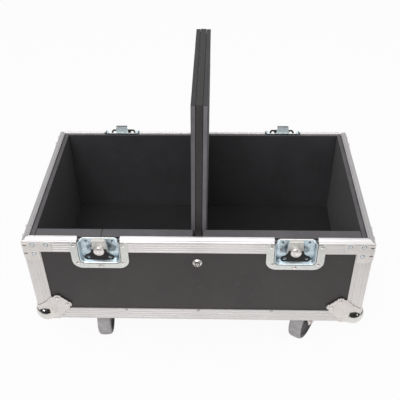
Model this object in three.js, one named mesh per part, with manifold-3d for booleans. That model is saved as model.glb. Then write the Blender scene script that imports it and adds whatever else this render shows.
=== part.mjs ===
// The base tray of a wheeled flight case for two subwoofers: laminated panels in aluminium edging, foam
// liners, a tall padded divider, braced and ball-shaped steel corners, recessed latches and swivel casters.
// Lengths are millimetres. X runs left to right, Y front to back and Z up from the floor.
import * as THREE from "three";
import { mergeVertices } from "three/addons/utils/BufferGeometryUtils.js";
import Module from "manifold-3d";

const wasm = await Module();
wasm.setup();

// The case
const caseWidth = 685;
const caseDepth = 390;
const baseHeight = 227;
const casterHeight = 127;
const fitGap = 0.3;
const overrun = 8;
const weldDistance = 0.001;
const quarterTurn = Math.PI / 2;

// Panels and edging
const panelThickness = 9.5;
const floorThickness = 9.5;
const liningThickness = 2.5;
const liningClearance = 2;
const edgingWall = 1.8;
const edgeRadius = 4;
const angleWidth = 34;
const railSkirt = 28;
const railTop = 5;
const railLip = 14;
const railLipWall = 2.1;
const tongueHeight = 3.5;
const tongueWidth = 8;
const tongueBevel = 1;
const mitreGap = 0.4;

// Foam liners
const sideLiner = 11.6;
const frontLiner = 26.1;
const backLiner = 6;
const slotWidth = 19;
const slotShift = 0.9;
const slotSill = 20;

// Divider
const coreThickness = 12;
const foamThickness = 9;
const dividerRise = 281;
const dividerDepth = 306;
const dividerLean = THREE.MathUtils.degToRad(1.17);
const dividerFootShift = -2.1;
const coreShoulder = 1.5;
const cupRadius = 9.5;
const cupHeight = 3;
const cupScrewRadius = 4;
const cupDrop = 57;

// Corner braces
const braceThickness = 1.2;
const braceReach = 58.5;
const braceDrop = 50;
const braceTopDrop = 4;
const braceBand = 21;
const braceLeg = 32;
const braceFillet = 5;
const braceSlotLength = 8.5;
const braceSlotWidth = 1.3;
const braceSlotDrops = [13.5, 34.5];
const braceNearRivet = 21.5;
const braceFarRivet = 48.5;
const braceUpperRivetDrop = 12.5;
const braceLowerRivetDrop = 35;
const rivetRadius = 4;
const rivetHeight = 1.4;
const rivetRoot = 0.8;

// Ball corners
const ballRadius = 25;
const ballProud = 9.5;
const cornerThickness = 1.6;
const cornerRoom = 1;
const leafReach = 75;
const leafLobe = 9.5;
const leafEdgeShares = [
  [0.08, 0.59],
  [0.27, 0.72],
  [0.41, 0.87],
];
const leafRivetShare = [0.63, 0.87];
const leafRootShare = 0.57;
const edgingSetback = 20;

// Latches
const latchSpacingShare = 0.56;
const flangeWidth = 115;
const flangeTopDrop = 3;
const flangeBottomDrop = 71;
const flangeThickness = 1.2;
const flangeRadius = 22;
const flangeTopRadius = 3;
const tubHalfWidth = 41;
const tubBottomDrop = 58.5;
const tubDraft = 4;
const tubRadius = 13;
const tubWall = 1.2;
const tubTopDrop = -1.4;
const notchClearance = 1.3;
const hubDrop = 23;
const hubShaftRadius = 6;
const hubDiscRadius = 10.5;
const hubDiscThickness = 3.3;
const hubDiscBevel = 1.2;
const hubProud = 3.1;
const pinRadius = 0.9;
const pinClearance = 0.25;
const wingThickness = 1.8;
const wingGap = 0.4;
const wingEyeSpacing = 42.8;
const wingEyeDrop = 14.7;
const wingEyeRadius = 7.5;
const wingHoleRadius = 4.2;
const wingShoulder = 14.5;
const wingCrown = 5;
const wingHip = 27;
const wingHipDrop = 9.8;
const wingBarrelRadius = 2;
const wingOpenFold = THREE.MathUtils.degToRad(35);
const clawTravel = 16;
const clawTopWidth = 26;
const clawFootWidth = 37;
const clawRadius = 3;
const clawThickness = 2;
const clawSetback = 6.5;
const clawTopDrop = -1;
const clawFoot = 4.4;
const clawSlotClearance = 0.3;
const clawHook = 6;
const clawHookThickness = 2.6;
const dishRivetSpread = 48.5;
const dishRivetTopDrop = 9.3;
const dishRivetLowSpread = 44.5;
const dishRivetLowDrop = 57;
const dishRivetFootDrop = 64.7;

// Casters
const casterSideInset = 124.5;
const casterEndInset = 45;
const casterTrail = 38;
const plateLength = 96;
const plateWidth = 76;
const plateThickness = 2.5;
const plateRadius = 6;
const boltSpacingLong = 76;
const boltSpacingShort = 56;
const boltHeadRadius = 6;
const boltHeadHeight = 4;
const raceRadius = 25;
const raceHeight = 5;
const raceBevel = 2;
const headRadius = 27;
const headHeight = 5;
const legThickness = 2.5;
const legSpread = 35;
const legFootRadius = 12;
const legRootShares = [-0.55, 1];
const axleRadius = 6;
const nutRadius = 8;
const nutHeight = 6;
const wheelRadius = 50;
const tyreWidth = 30;
const tyreShoulder = 4;
const tyreDepth = 12;
const rimInset = 5;
const hubBossRadius = 12;
const hubBossFlare = 3;
const boreClearance = 0.15;

const roundSteps = 16;
const ballSteps = 24;
const wheelSteps = 24;
const rivetSteps = 8;
const nutSides = 6;
const filletSteps = 3;

// Depths measured inwards from the outer face of a wall
const panelFace = edgingWall + fitGap;
const panelBack = panelFace + panelThickness;
const linerBack = panelBack + fitGap;
const railWidth = linerBack + railLipWall;
const linerLedge = railWidth + fitGap;
const frontLinerFace = linerBack + frontLiner;
const backLinerFace = linerBack + backLiner;
const sideLinerFace = linerBack + sideLiner;
const dividerFoot = floorThickness + fitGap + (coreThickness / 2 + foamThickness) * Math.sin(dividerLean);
const ballInset = ballRadius - ballProud;
const cornerSkin = fitGap + cornerThickness;
const tubBack = linerBack - fitGap;
const tubFloor = tubBack - tubWall;
const flangeFace = -fitGap - flangeThickness;
const notchHalfWidth = tubHalfWidth + notchClearance;
const hubFace = flangeFace - hubProud;
const wingBack = flangeFace - wingGap;
const wingMiddle = wingBack - wingThickness / 2;
const leafRivets = [leafRivetShare, [...leafRivetShare].reverse()].map(([along, up]) => [
  along * leafReach,
  up * leafReach,
]);

const laminate = { color: 0x3d3b3c, roughness: 0.62, metalness: 0 };
const aluminium = { color: 0xc9c7c8, roughness: 0.38, metalness: 0.9 };
const steel = { color: 0xbdb9b4, roughness: 0.34, metalness: 0.9 };
const zinc = { color: 0xaebcc6, roughness: 0.28, metalness: 0.95 };
const foam = { color: 0x2a2a2c, roughness: 0.95, metalness: 0 };
const plywood = { color: 0x2f2d2c, roughness: 0.8, metalness: 0 };
const tyreRubber = { color: 0x77767b, roughness: 0.75, metalness: 0 };
const blackSteel = { color: 0x2c2c2d, roughness: 0.35, metalness: 0.2 };

// A closed mesh as a solid that can be joined and cut
function solidOf(form) {
  if (!form.isBufferGeometry) return form;
  const bare = new THREE.BufferGeometry();
  bare.setAttribute("position", form.getAttribute("position"));
  bare.setIndex(form.getIndex());
  const merged = mergeVertices(bare, weldDistance);
  const triVerts = new Uint32Array(merged.index.array);
  const vertProperties = merged.attributes.position.array;
  return new wasm.Manifold(new wasm.Mesh({ numProp: 3, vertProperties, triVerts }));
}

function join(...forms) {
  return forms.map(solidOf).reduce((whole, next) => whole.add(next));
}

function cut(form, ...tools) {
  return tools.map(solidOf).reduce((rest, tool) => rest.subtract(tool), solidOf(form));
}

function common(form, other) {
  return solidOf(form).intersect(solidOf(other));
}

function meshOf(name, form, finish) {
  const { vertProperties, triVerts, numProp } = solidOf(form).getMesh();
  const corners = new Float32Array(triVerts.length * 3);
  triVerts.forEach((vertex, i) => {
    const start = vertex * numProp;
    corners.set(vertProperties.subarray(start, start + 3), i * 3);
  });
  const geometry = new THREE.BufferGeometry();
  geometry.setAttribute("position", new THREE.BufferAttribute(corners, 3));
  geometry.computeVertexNormals();
  const mesh = new THREE.Mesh(geometry, new THREE.MeshStandardMaterial(finish));
  mesh.name = name;
  return mesh;
}

// The points of a closed outline through corners [x, y, radius]: a corner with a radius is an arc
function outlinePoints(corners) {
  return corners.flatMap(([x, y, radius = 0], i) => {
    const corner = new THREE.Vector2(x, y);
    if (!radius) return [corner];
    const back = new THREE.Vector2(...corners.at(i - 1).slice(0, 2)).sub(corner).normalize();
    const on = new THREE.Vector2(...corners[(i + 1) % corners.length].slice(0, 2)).sub(corner).normalize();
    const half = Math.acos(THREE.MathUtils.clamp(back.dot(on), -1, 1)) / 2;
    const centre = back.clone().add(on).setLength(radius / Math.sin(half)).add(corner);
    const start = back.clone().setLength(radius / Math.tan(half)).add(corner).sub(centre);
    const sweep = (Math.PI - 2 * half) * Math.sign(on.cross(back));
    const steps = Array.from({ length: filletSteps + 1 }, (_, step) => (sweep * step) / filletSteps);
    return steps.map((angle) => start.clone().rotateAround(new THREE.Vector2(), angle).add(centre));
  });
}

function extrude(corners, depth) {
  const shape = new THREE.Shape(outlinePoints(corners));
  return new THREE.ExtrudeGeometry(shape, { depth, bevelEnabled: false });
}

// An outline in (Y, Z) carried along X
function alongX(corners, start, end) {
  const turn = new THREE.Matrix4().makeBasis(
    new THREE.Vector3(0, 1, 0),
    new THREE.Vector3(0, 0, 1),
    new THREE.Vector3(1, 0, 0),
  );
  return extrude(corners, end - start).applyMatrix4(turn).translate(start, 0, 0);
}

// An outline in (X, Z) carried along Y
function alongY(corners, near, far) {
  return extrude(corners, far - near).rotateX(quarterTurn).translate(0, far, 0);
}

// An outline in (X, Y) carried along Z
function alongZ(corners, low, high) {
  return extrude(corners, high - low).translate(0, 0, low);
}

// A form between an outline in (X, Z) at one depth and a like outline at another
function tapered(nearCorners, near, farCorners, far) {
  const nearRing = outlinePoints(nearCorners);
  const farRing = outlinePoints(farCorners);
  const count = nearRing.length;
  const places = [
    ...nearRing.flatMap((point) => [point.x, near, point.y]),
    ...farRing.flatMap((point) => [point.x, far, point.y]),
  ];
  const faces = [];
  for (const [a, b, c] of THREE.ShapeUtils.triangulateShape(nearRing, [])) {
    faces.push(a, b, c);
  }
  for (const [a, b, c] of THREE.ShapeUtils.triangulateShape(farRing, [])) {
    faces.push(count + a, count + c, count + b);
  }
  for (let i = 0; i < count; i += 1) {
    const next = (i + 1) % count;
    faces.push(i, count + i, next, next, count + i, count + next);
  }
  const geometry = new THREE.BufferGeometry();
  geometry.setAttribute("position", new THREE.Float32BufferAttribute(places, 3));
  geometry.setIndex(faces);
  return geometry;
}

function block(x0, x1, y0, y1, z0, z1) {
  const box = new THREE.BoxGeometry(x1 - x0, y1 - y0, z1 - z0);
  return box.translate((x0 + x1) / 2, (y0 + y1) / 2, (z0 + z1) / 2);
}

// A turned form about Z from [radius, height] points, upwards along its outside
function turned(profile, steps) {
  const points = profile.map(([radius, height]) => new THREE.Vector2(radius, height));
  return new THREE.LatheGeometry(points, steps).rotateX(quarterTurn);
}

function rod(radius, low, high, steps) {
  return turned([[0, low], [radius, low], [radius, high], [0, high]], steps);
}

function rodAlongX(radius, start, end, steps) {
  return rod(radius, start, end, steps).rotateY(quarterTurn);
}

function rodAlongY(radius, near, far, steps) {
  return rod(radius, -far, -near, steps).rotateX(quarterTurn);
}

function sphere(radius) {
  return new THREE.SphereGeometry(radius, ballSteps, ballSteps / 2);
}

// A low domed head that stands on the plane Z = 0 and reaches a little below it
function rivetHead() {
  const profile = [
    [0, -rivetRoot],
    [rivetRadius, -rivetRoot],
    [rivetRadius, rivetHeight / 2],
    [rivetRadius / 2, rivetHeight],
    [0, rivetHeight],
  ];
  return turned(profile, rivetSteps);
}

function headOnFront(form, x, y, z) {
  return form.rotateX(quarterTurn).translate(x, y, z);
}

function headOnSide(form, x, y, z) {
  return form.rotateY(-quarterTurn).translate(x, y, z);
}

function headBelow(form, x, y, z) {
  return form.rotateX(2 * quarterTurn).translate(x, y, z);
}

// The four walls, each drawn with its length on X and its outer face at Y = 0, the inside being +Y
const walls = {
  front: { length: caseWidth, across: caseDepth, x: 0, y: -caseDepth / 2, turn: 0 },
  right: { length: caseDepth, across: caseWidth, x: caseWidth / 2, y: 0, turn: quarterTurn },
  back: { length: caseWidth, across: caseDepth, x: 0, y: caseDepth / 2, turn: 2 * quarterTurn },
  left: { length: caseDepth, across: caseWidth, x: -caseWidth / 2, y: 0, turn: -quarterTurn },
};

// The four corners, each drawn with the case on its +X and +Y sides
const corners = {
  front_left: { x: -caseWidth / 2, y: -caseDepth / 2, turn: 0 },
  front_right: { x: caseWidth / 2, y: -caseDepth / 2, turn: quarterTurn },
  back_right: { x: caseWidth / 2, y: caseDepth / 2, turn: 2 * quarterTurn },
  back_left: { x: -caseWidth / 2, y: caseDepth / 2, turn: -quarterTurn },
};

function placed({ x, y, turn }, z, ...children) {
  const group = new THREE.Group();
  group.position.set(x, y, z);
  group.rotation.z = turn;
  group.add(...children);
  return group;
}

const hasLatches = (side) => side === "front" || side === "back";
const latchSpacing = latchSpacingShare * caseWidth;
const latchPlaces = [-latchSpacing / 2, latchSpacing / 2];

// What two mitred ends leave of a length of edging
function mitred(form, length) {
  const reach = angleWidth + overrun;
  const end = (length - mitreGap) / 2;
  const wedges = [-1, 1].map((hand) =>
    alongZ(
      [
        [hand * (end + overrun), -overrun],
        [hand * (end + overrun), reach],
        [hand * (end - reach), reach],
      ],
      -overrun,
      baseHeight + overrun,
    ),
  );
  return cut(form, ...wedges);
}

function footprint({ length, across }) {
  const plan = [
    [-length / 2, 0, edgeRadius],
    [length / 2, 0, edgeRadius],
    [length / 2, across, edgeRadius],
    [-length / 2, across, edgeRadius],
  ];
  return alongZ(plan, -overrun, baseHeight + overrun);
}

function rail(side) {
  const wall = walls[side];
  const top = baseHeight;
  const profile = [
    [0, top - railSkirt],
    [edgingWall, top - railSkirt],
    [edgingWall, top - railTop],
    [linerBack, top - railTop],
    [linerBack, top - railLip],
    [railWidth, top - railLip],
    [railWidth, top + tongueHeight, tongueBevel],
    [railWidth - tongueWidth, top + tongueHeight, tongueBevel],
    [railWidth - tongueWidth, top],
    [0, top, edgeRadius],
  ];
  const bar = alongX(profile, -wall.length / 2, wall.length / 2);
  const ended = common(mitred(bar, wall.length), footprint(wall));
  const notches = latchPlaces.flatMap((place) => {
    const low = place - notchHalfWidth;
    const high = place + notchHalfWidth;
    const clear = top + overrun;
    return [
      block(low, high, -overrun, (tubBack + linerBack) / 2, -overrun, clear),
      block(low, high, -overrun, railWidth + overrun, top - railTop, clear),
    ];
  });
  return meshOf("rail_" + side, hasLatches(side) ? cut(ended, ...notches) : ended, aluminium);
}

function baseAngle(side) {
  const { length } = walls[side];
  const profile = [
    [0, 0, edgeRadius],
    [angleWidth, 0],
    [angleWidth, edgingWall],
    [edgingWall, edgingWall],
    [edgingWall, angleWidth],
    [0, angleWidth],
  ];
  const half = length / 2 - edgingSetback;
  return meshOf("base_angle_" + side, mitred(alongX(profile, -half, half), length), aluminium);
}

function post(corner) {
  const plan = [
    [0, 0, edgeRadius],
    [angleWidth, 0],
    [angleWidth, edgingWall],
    [edgingWall, edgingWall],
    [edgingWall, angleWidth],
    [0, angleWidth],
  ];
  const bar = alongZ(plan, angleWidth + fitGap, baseHeight - railSkirt - fitGap);
  return meshOf("post_" + corner, bar, aluminium);
}

// What the ball corners need cut from the lower corners of a panel
function cornerReliefs(length) {
  const room = ballRadius - cornerThickness - cornerRoom;
  return [-1, 1].map((hand) => {
    const place = hand * (length / 2 - ballInset);
    const beyond = place + hand * (ballInset + overrun);
    const ends = [Math.min(place, beyond), Math.max(place, beyond)];
    const cube = block(...ends, -overrun, ballInset, -overrun, ballInset);
    return cut(cube, sphere(room).translate(place, ballInset, ballInset));
  });
}

// A screw head in a pressed cup washer
function cupScrew() {
  const profile = [
    [0, -rivetRoot],
    [cupRadius, -rivetRoot],
    [cupRadius, cupHeight / 3],
    [cupScrewRadius, cupHeight],
    [0, cupHeight],
  ];
  return turned(profile, roundSteps);
}

function panel(side) {
  const { length } = walls[side];
  const half = length / 2 - (hasLatches(side) ? panelFace : linerBack);
  const low = edgingWall + fitGap;
  const high = baseHeight - railTop - fitGap;
  const board = block(-half, half, panelFace, panelBack, low, high);
  const sheet = cut(board, ...cornerReliefs(length));
  if (!hasLatches(side)) return meshOf("panel_" + side, sheet, laminate);
  const screw = headOnFront(cupScrew(), 0, panelFace, baseHeight - cupDrop);
  const holes = latchPlaces.map((place) => {
    const sill = baseHeight - tubBottomDrop - notchClearance;
    const ends = [place - notchHalfWidth, place + notchHalfWidth];
    return block(...ends, -overrun, panelBack + overrun, sill, high + overrun);
  });
  return meshOf("panel_" + side, join(cut(sheet, ...holes), screw), laminate);
}

// The floor board, and on it a thin lining in each compartment
function floorPanel() {
  const inner = block(
    -caseWidth / 2 + angleWidth + fitGap,
    caseWidth / 2 - angleWidth - fitGap,
    -caseDepth / 2 + angleWidth + fitGap,
    caseDepth / 2 - angleWidth - fitGap,
    0,
    floorThickness,
  );
  const outer = block(
    -caseWidth / 2 + linerBack,
    caseWidth / 2 - linerBack,
    -caseDepth / 2 + linerBack,
    caseDepth / 2 - linerBack,
    edgingWall + fitGap,
    floorThickness,
  );
  const beside = coreThickness / 2 + foamThickness + liningClearance;
  const wallSide = caseWidth / 2 - sideLinerFace - liningClearance;
  const front = -caseDepth / 2 + frontLinerFace + liningClearance;
  const back = caseDepth / 2 - backLinerFace - liningClearance;
  const linings = [
    [-wallSide, dividerFootShift - beside],
    [dividerFootShift + beside, wallSide],
  ].map((ends) => block(...ends, front, back, floorThickness / 2, floorThickness + liningThickness));
  return meshOf("panel_floor", join(inner, outer, ...linings), laminate);
}

const linerFaces = {
  front: frontLinerFace,
  right: sideLinerFace,
  back: backLinerFace,
  left: sideLinerFace,
};

function liner(side) {
  const { length } = walls[side];
  const face = linerFaces[side];
  const half = length / 2 - (hasLatches(side) ? sideLinerFace + fitGap : linerLedge);
  const bottom = floorThickness + fitGap;
  const ledge = baseHeight - railLip - fitGap;
  const profile = [
    [linerBack, bottom],
    [face, bottom],
    [face, baseHeight],
    [linerLedge, baseHeight],
    [linerLedge, ledge],
    [linerBack, ledge],
  ];
  const sheet = alongX(profile, -half, half);
  if (!hasLatches(side)) return meshOf("liner_" + side, sheet, foam);
  const centre = side === "front" ? slotShift : -slotShift;
  const low = centre - slotWidth / 2;
  const high = centre + slotWidth / 2;
  const slot = block(low, high, -overrun, face + overrun, bottom + slotSill, baseHeight + overrun);
  return meshOf("liner_" + side, cut(sheet, slot), foam);
}

// The divider, drawn upright with its foot on Z = 0: the core's tabs run through the liners' slots
function divider() {
  const front = -caseDepth / 2 + frontLinerFace + fitGap;
  const back = front + dividerDepth;
  const tabFront = -caseDepth / 2 + linerLedge;
  const tabBack = caseDepth / 2 - linerLedge;
  const sillBack = caseDepth / 2 - backLinerFace - fitGap;
  const sill = floorThickness + slotSill + 3 * fitGap - dividerFoot;
  const shoulder = baseHeight - coreShoulder - dividerFoot;
  const top = baseHeight + dividerRise - dividerFoot;
  const profile = [
    [front, 0],
    [sillBack, 0],
    [sillBack, sill],
    [tabBack, sill],
    [tabBack, shoulder],
    [back, shoulder],
    [back, top],
    [front, top],
    [front, shoulder],
    [tabFront, shoulder],
    [tabFront, sill],
    [front, sill],
  ];
  const half = coreThickness / 2;
  const near = half + fitGap;
  const far = half + foamThickness;
  const group = new THREE.Group();
  group.add(
    meshOf("divider_core", alongX(profile, -half, half), plywood),
    meshOf("divider_foam_left", block(-far, -near, front, back, 0, top), foam),
    meshOf("divider_foam_right", block(near, far, front, back, 0, top), foam),
  );
  group.position.set(dividerFootShift, 0, casterHeight + dividerFoot);
  group.rotation.y = dividerLean;
  return group;
}

// A flat L of steel on each side of an upper corner, joined round the edge
function brace(corner) {
  const skin = fitGap + braceThickness;
  const top = baseHeight - braceTopDrop;
  const bottom = baseHeight - braceDrop;
  const band = top - braceBand;
  const plan = [
    [-skin, -skin, edgeRadius + skin],
    [braceReach, -skin],
    [braceReach, -fitGap],
    [-fitGap, -fitGap, edgeRadius + fitGap],
    [-fitGap, braceReach],
    [-skin, braceReach],
  ];
  const face = [
    [-overrun, bottom],
    [braceLeg, bottom, braceFillet],
    [braceLeg, band, braceFillet / 2],
    [braceReach, band, braceFillet],
    [braceReach, top],
    [-overrun, top],
  ];
  const slots = braceSlotDrops.map((drop) => {
    const middle = baseHeight - drop;
    const side = [-overrun, braceSlotLength];
    return block(...side, ...side, middle - braceSlotWidth / 2, middle + braceSlotWidth / 2);
  });
  const keep = join(alongY(face, -overrun, edgeRadius), alongX(face, -overrun, edgeRadius));
  const plate = cut(common(alongZ(plan, bottom, top), keep), ...slots);
  const rivets = [
    [braceNearRivet, braceUpperRivetDrop],
    [braceFarRivet, braceUpperRivetDrop],
    [braceNearRivet, braceLowerRivetDrop],
  ].flatMap(([along, drop]) => [
    headOnFront(rivetHead(), along, -skin, baseHeight - drop),
    headOnSide(rivetHead(), -skin, along, baseHeight - drop),
  ]);
  return meshOf("brace_" + corner, join(plate, ...rivets), steel);
}

// The outline of one leaf of a ball corner, the same from either of its edges
function leafOutline() {
  const root = leafRootShare * leafReach;
  const rising = leafEdgeShares.map(([along, up]) => [along * leafReach, up * leafReach]);
  const falling = rising.map(([along, up]) => [up, along]);
  const [[near, far]] = leafRivets;
  const tip = leafLobe * Math.SQRT1_2;
  return [
    [-cornerSkin, -cornerSkin],
    [root, -cornerSkin],
    ...falling,
    [far + tip, near + tip],
    [near + tip, far + tip],
    ...rising.reverse(),
    [-cornerSkin, root],
  ];
}

function ballCorner(corner) {
  const edge = leafOutline();
  const lobes = leafRivets.flatMap(([along, up]) => [
    rodAlongY(leafLobe, -cornerSkin, -fitGap, roundSteps).translate(along, 0, up),
    rodAlongX(leafLobe, -cornerSkin, -fitGap, roundSteps).translate(0, along, up),
    rod(leafLobe, -cornerSkin, -fitGap, roundSteps).translate(along, up, 0),
  ]);
  const heads = leafRivets.flatMap(([along, up]) => [
    headOnFront(rivetHead(), along, -cornerSkin, up),
    headOnSide(rivetHead(), -cornerSkin, along, up),
    headBelow(rivetHead(), along, up, -cornerSkin),
  ]);
  const leaves = [
    alongY(edge, -cornerSkin, -fitGap),
    alongX(edge, -cornerSkin, -fitGap),
    alongZ(edge, -cornerSkin, -fitGap),
  ];
  const ball = (radius) => sphere(radius).translate(ballInset, ballInset, ballInset);
  const outer = [-overrun, ballInset];
  const inner = [-fitGap, leafReach + overrun];
  const cube = block(...outer, ...outer, ...outer);
  const hollow = join(cut(block(...inner, ...inner, ...inner), cube), ball(ballRadius - cornerThickness));
  const shell = cut(join(...leaves, ...lobes, ball(ballRadius)), cut(cube, ball(ballRadius)), hollow);
  return meshOf("ball_corner_" + corner, join(shell, ...heads), steel);
}

// The pressed dish of a latch, drawn about X = 0: its flange lies on the wall and its tub is open above
function dish(name) {
  const rim = baseHeight;
  const half = flangeWidth / 2;
  const flange = [
    [-half, rim - flangeBottomDrop, flangeRadius],
    [half, rim - flangeBottomDrop, flangeRadius],
    [half, rim - flangeTopDrop, flangeTopRadius],
    [-half, rim - flangeTopDrop, flangeTopRadius],
  ];
  const bowl = (inset, top) => {
    const side = tubHalfWidth - inset;
    const low = rim - tubBottomDrop + inset;
    return [
      [-side, low, tubRadius],
      [side, low, tubRadius],
      [side, top],
      [-side, top],
    ];
  };
  const open = rim - tubTopDrop;
  const outside = tapered(bowl(0, open), flangeFace, bowl(tubDraft, open), tubBack);
  const inside = tapered(
    bowl(tubWall, rim + overrun),
    flangeFace - overrun,
    bowl(tubWall + tubDraft, rim + overrun),
    tubFloor,
  );
  const rivets = [
    [-dishRivetSpread, dishRivetTopDrop],
    [dishRivetSpread, dishRivetTopDrop],
    [-dishRivetLowSpread, dishRivetLowDrop],
    [dishRivetLowSpread, dishRivetLowDrop],
    [0, dishRivetFootDrop],
  ].map(([along, drop]) => headOnFront(rivetHead(), along, flangeFace, rim - drop));
  const plate = join(alongY(flange, flangeFace, -fitGap), outside);
  return meshOf(name, join(cut(plate, inside), ...rivets), zinc);
}

// The turning hub, drawn about its own axis on Y
function hub(name) {
  const back = tubFloor - fitGap;
  const profile = [
    [0, -back],
    [hubShaftRadius, -back],
    [hubShaftRadius, -hubFace - hubDiscThickness],
    [hubDiscRadius, -hubFace - hubDiscThickness],
    [hubDiscRadius, -hubFace - hubDiscBevel],
    [hubDiscRadius - hubDiscBevel, -hubFace],
    [0, -hubFace],
  ];
  const body = turned(profile, roundSteps).rotateX(quarterTurn);
  const pin = rodAlongX(pinRadius, -wingShoulder, wingShoulder, rivetSteps).translate(0, wingMiddle, 0);
  return meshOf(name, join(body, pin), zinc);
}

// The folding wing, hanging from the hub's pin at Z = 0
function wing(name) {
  const eyes = [-wingEyeSpacing / 2, wingEyeSpacing / 2];
  const [left, right] = eyes;
  const edge = [
    [-wingShoulder, wingCrown],
    [wingShoulder, wingCrown],
    [wingHip, -wingHipDrop],
    [right, -wingEyeDrop - wingEyeRadius],
    [left, -wingEyeDrop - wingEyeRadius],
    [-wingHip, -wingHipDrop],
  ];
  const front = wingBack - wingThickness;
  const disc = (radius) => rodAlongY(radius, front, wingBack, roundSteps);
  const lobes = eyes.map((place) => disc(wingEyeRadius).translate(place, 0, -wingEyeDrop));
  const holes = eyes.map((place) => disc(wingHoleRadius).translate(place, 0, -wingEyeDrop));
  const along = (radius, reach) => rodAlongX(radius, -reach, reach, rivetSteps).translate(0, wingMiddle, 0);
  const room = rodAlongY(hubDiscRadius + wingGap, front - overrun, wingBack + overrun, roundSteps);
  const plate = join(alongY(edge, front, wingBack), along(wingBarrelRadius, wingShoulder), ...lobes);
  const bore = along(pinRadius + pinClearance, wingShoulder + overrun);
  return meshOf(name, cut(plate, room, bore, ...holes), blackSteel);
}

// The sliding claw, drawn down: the hub's shaft runs through its slot
function claw(name) {
  const half = clawTopWidth / 2;
  const foot = clawFootWidth / 2;
  const level = baseHeight - hubDrop;
  const top = baseHeight - clawTopDrop;
  const slotHalf = hubShaftRadius + clawSlotClearance;
  const slotLow = level - clawTravel - slotHalf;
  const edge = [
    [-foot, slotLow - clawFoot, clawRadius],
    [foot, slotLow - clawFoot, clawRadius],
    [half, top],
    [-half, top],
  ];
  const back = clawSetback + clawThickness;
  const plate = alongY(edge, clawSetback, back);
  const hook = block(-half, half, clawSetback - clawHook, back, top - clawHookThickness, top);
  const slot = block(-slotHalf, slotHalf, -overrun, back + overrun, slotLow, level + slotHalf);
  return meshOf(name, cut(join(plate, hook), slot), zinc);
}

// A latch at its place on a long wall: lifted, its claw is raised and its wing turned up and folded out
function latch(side, hand, lifted) {
  const place = side + "_" + hand;
  const turning = new THREE.Group();
  turning.position.z = baseHeight - hubDrop;
  turning.rotation.y = lifted ? 2 * quarterTurn : 0;
  const leaf = wing("latch_wing_" + place);
  leaf.position.y = -wingMiddle;
  const folding = new THREE.Group();
  folding.position.y = wingMiddle;
  folding.rotation.x = lifted ? -wingOpenFold : 0;
  folding.add(leaf);
  turning.add(hub("latch_hub_" + place), folding);
  const sliding = claw("latch_claw_" + place);
  sliding.position.z = lifted ? clawTravel : 0;
  const group = new THREE.Group();
  const onRight = side === "front" ? hand === "right" : hand === "left";
  group.position.x = (onRight ? latchSpacing : -latchSpacing) / 2;
  group.add(dish("latch_dish_" + place), turning, sliding);
  return group;
}

// A swivel caster below the base: its fork trails towards +Y before it is turned
function caster(name, { x, y, turn }) {
  const plateTop = casterHeight - fitGap;
  const plateLow = plateTop - plateThickness;
  const raceLow = plateLow - raceHeight;
  const headTop = raceLow - fitGap;
  const headLow = headTop - headHeight;
  const [long, wide] = [plateLength / 2, plateWidth / 2];
  const plan = [
    [-long, -wide, plateRadius],
    [long, -wide, plateRadius],
    [long, wide, plateRadius],
    [-long, wide, plateRadius],
  ];
  const race = turned(
    [
      [0, raceLow],
      [raceRadius - raceBevel, raceLow],
      [raceRadius, raceLow + raceBevel],
      [raceRadius, plateTop],
      [0, plateTop],
    ],
    roundSteps,
  );
  const bolts = [-boltSpacingLong / 2, boltSpacingLong / 2].flatMap((along) =>
    [-boltSpacingShort / 2, boltSpacingShort / 2].map((across) =>
      rod(boltHeadRadius, plateLow - boltHeadHeight, plateTop, nutSides).translate(along, across, 0),
    ),
  );
  const plate = meshOf("caster_plate_" + name, join(alongZ(plan, plateLow, plateTop), race, ...bolts), steel);

  const [rootNear, rootFar] = legRootShares.map((share) => share * headRadius);
  const side = [
    [rootNear, headLow + headHeight / 2],
    [rootFar, headLow + headHeight / 2],
    [casterTrail + legFootRadius, wheelRadius],
    [casterTrail - legFootRadius, wheelRadius],
  ];
  const inner = legSpread / 2;
  const outer = inner + legThickness;
  const onAxle = (form) => form.translate(0, casterTrail, wheelRadius);
  const legs = [
    [-outer, -inner],
    [inner, outer],
  ].flatMap(([start, end]) => [
    alongX(side, start, end),
    onAxle(rodAlongX(legFootRadius, start, end, roundSteps)),
  ]);
  const nuts = onAxle(rodAlongX(nutRadius, -outer - nutHeight, -outer + legThickness / 2, nutSides));
  const farNuts = onAxle(rodAlongX(nutRadius, outer - legThickness / 2, outer + nutHeight, nutSides));
  const axle = onAxle(rodAlongX(axleRadius, -outer, outer, roundSteps));
  const head = rod(headRadius, headLow, headTop, roundSteps);
  const fork = meshOf("caster_fork_" + name, join(head, ...legs, axle, nuts, farNuts), steel);

  const half = tyreWidth / 2;
  const web = half - rimInset;
  const rim = wheelRadius - tyreDepth;
  const boss = inner - fitGap;
  const halfStep = Math.PI / wheelSteps;
  const tread = wheelRadius / Math.cos(halfStep);
  const flank = [
    [axleRadius + boreClearance, boss],
    [hubBossRadius, boss],
    [hubBossRadius + hubBossFlare, web],
    [rim, web],
    [rim, half],
    [tread - tyreShoulder, half],
    [tread, half - tyreShoulder],
  ];
  const ring = [...flank.map(([radius, across]) => [radius, -across]), ...flank.reverse()];
  const round = turned([...ring, ring[0]], wheelSteps).rotateZ(halfStep).rotateY(quarterTurn);
  const wheel = meshOf("caster_wheel_" + name, round, tyreRubber);
  wheel.position.set(0, casterTrail, wheelRadius);

  const swivel = new THREE.Group();
  swivel.rotation.z = turn;
  swivel.add(fork, wheel);
  const group = new THREE.Group();
  group.position.set(x, y, 0);
  group.add(plate, swivel);
  return group;
}

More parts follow.
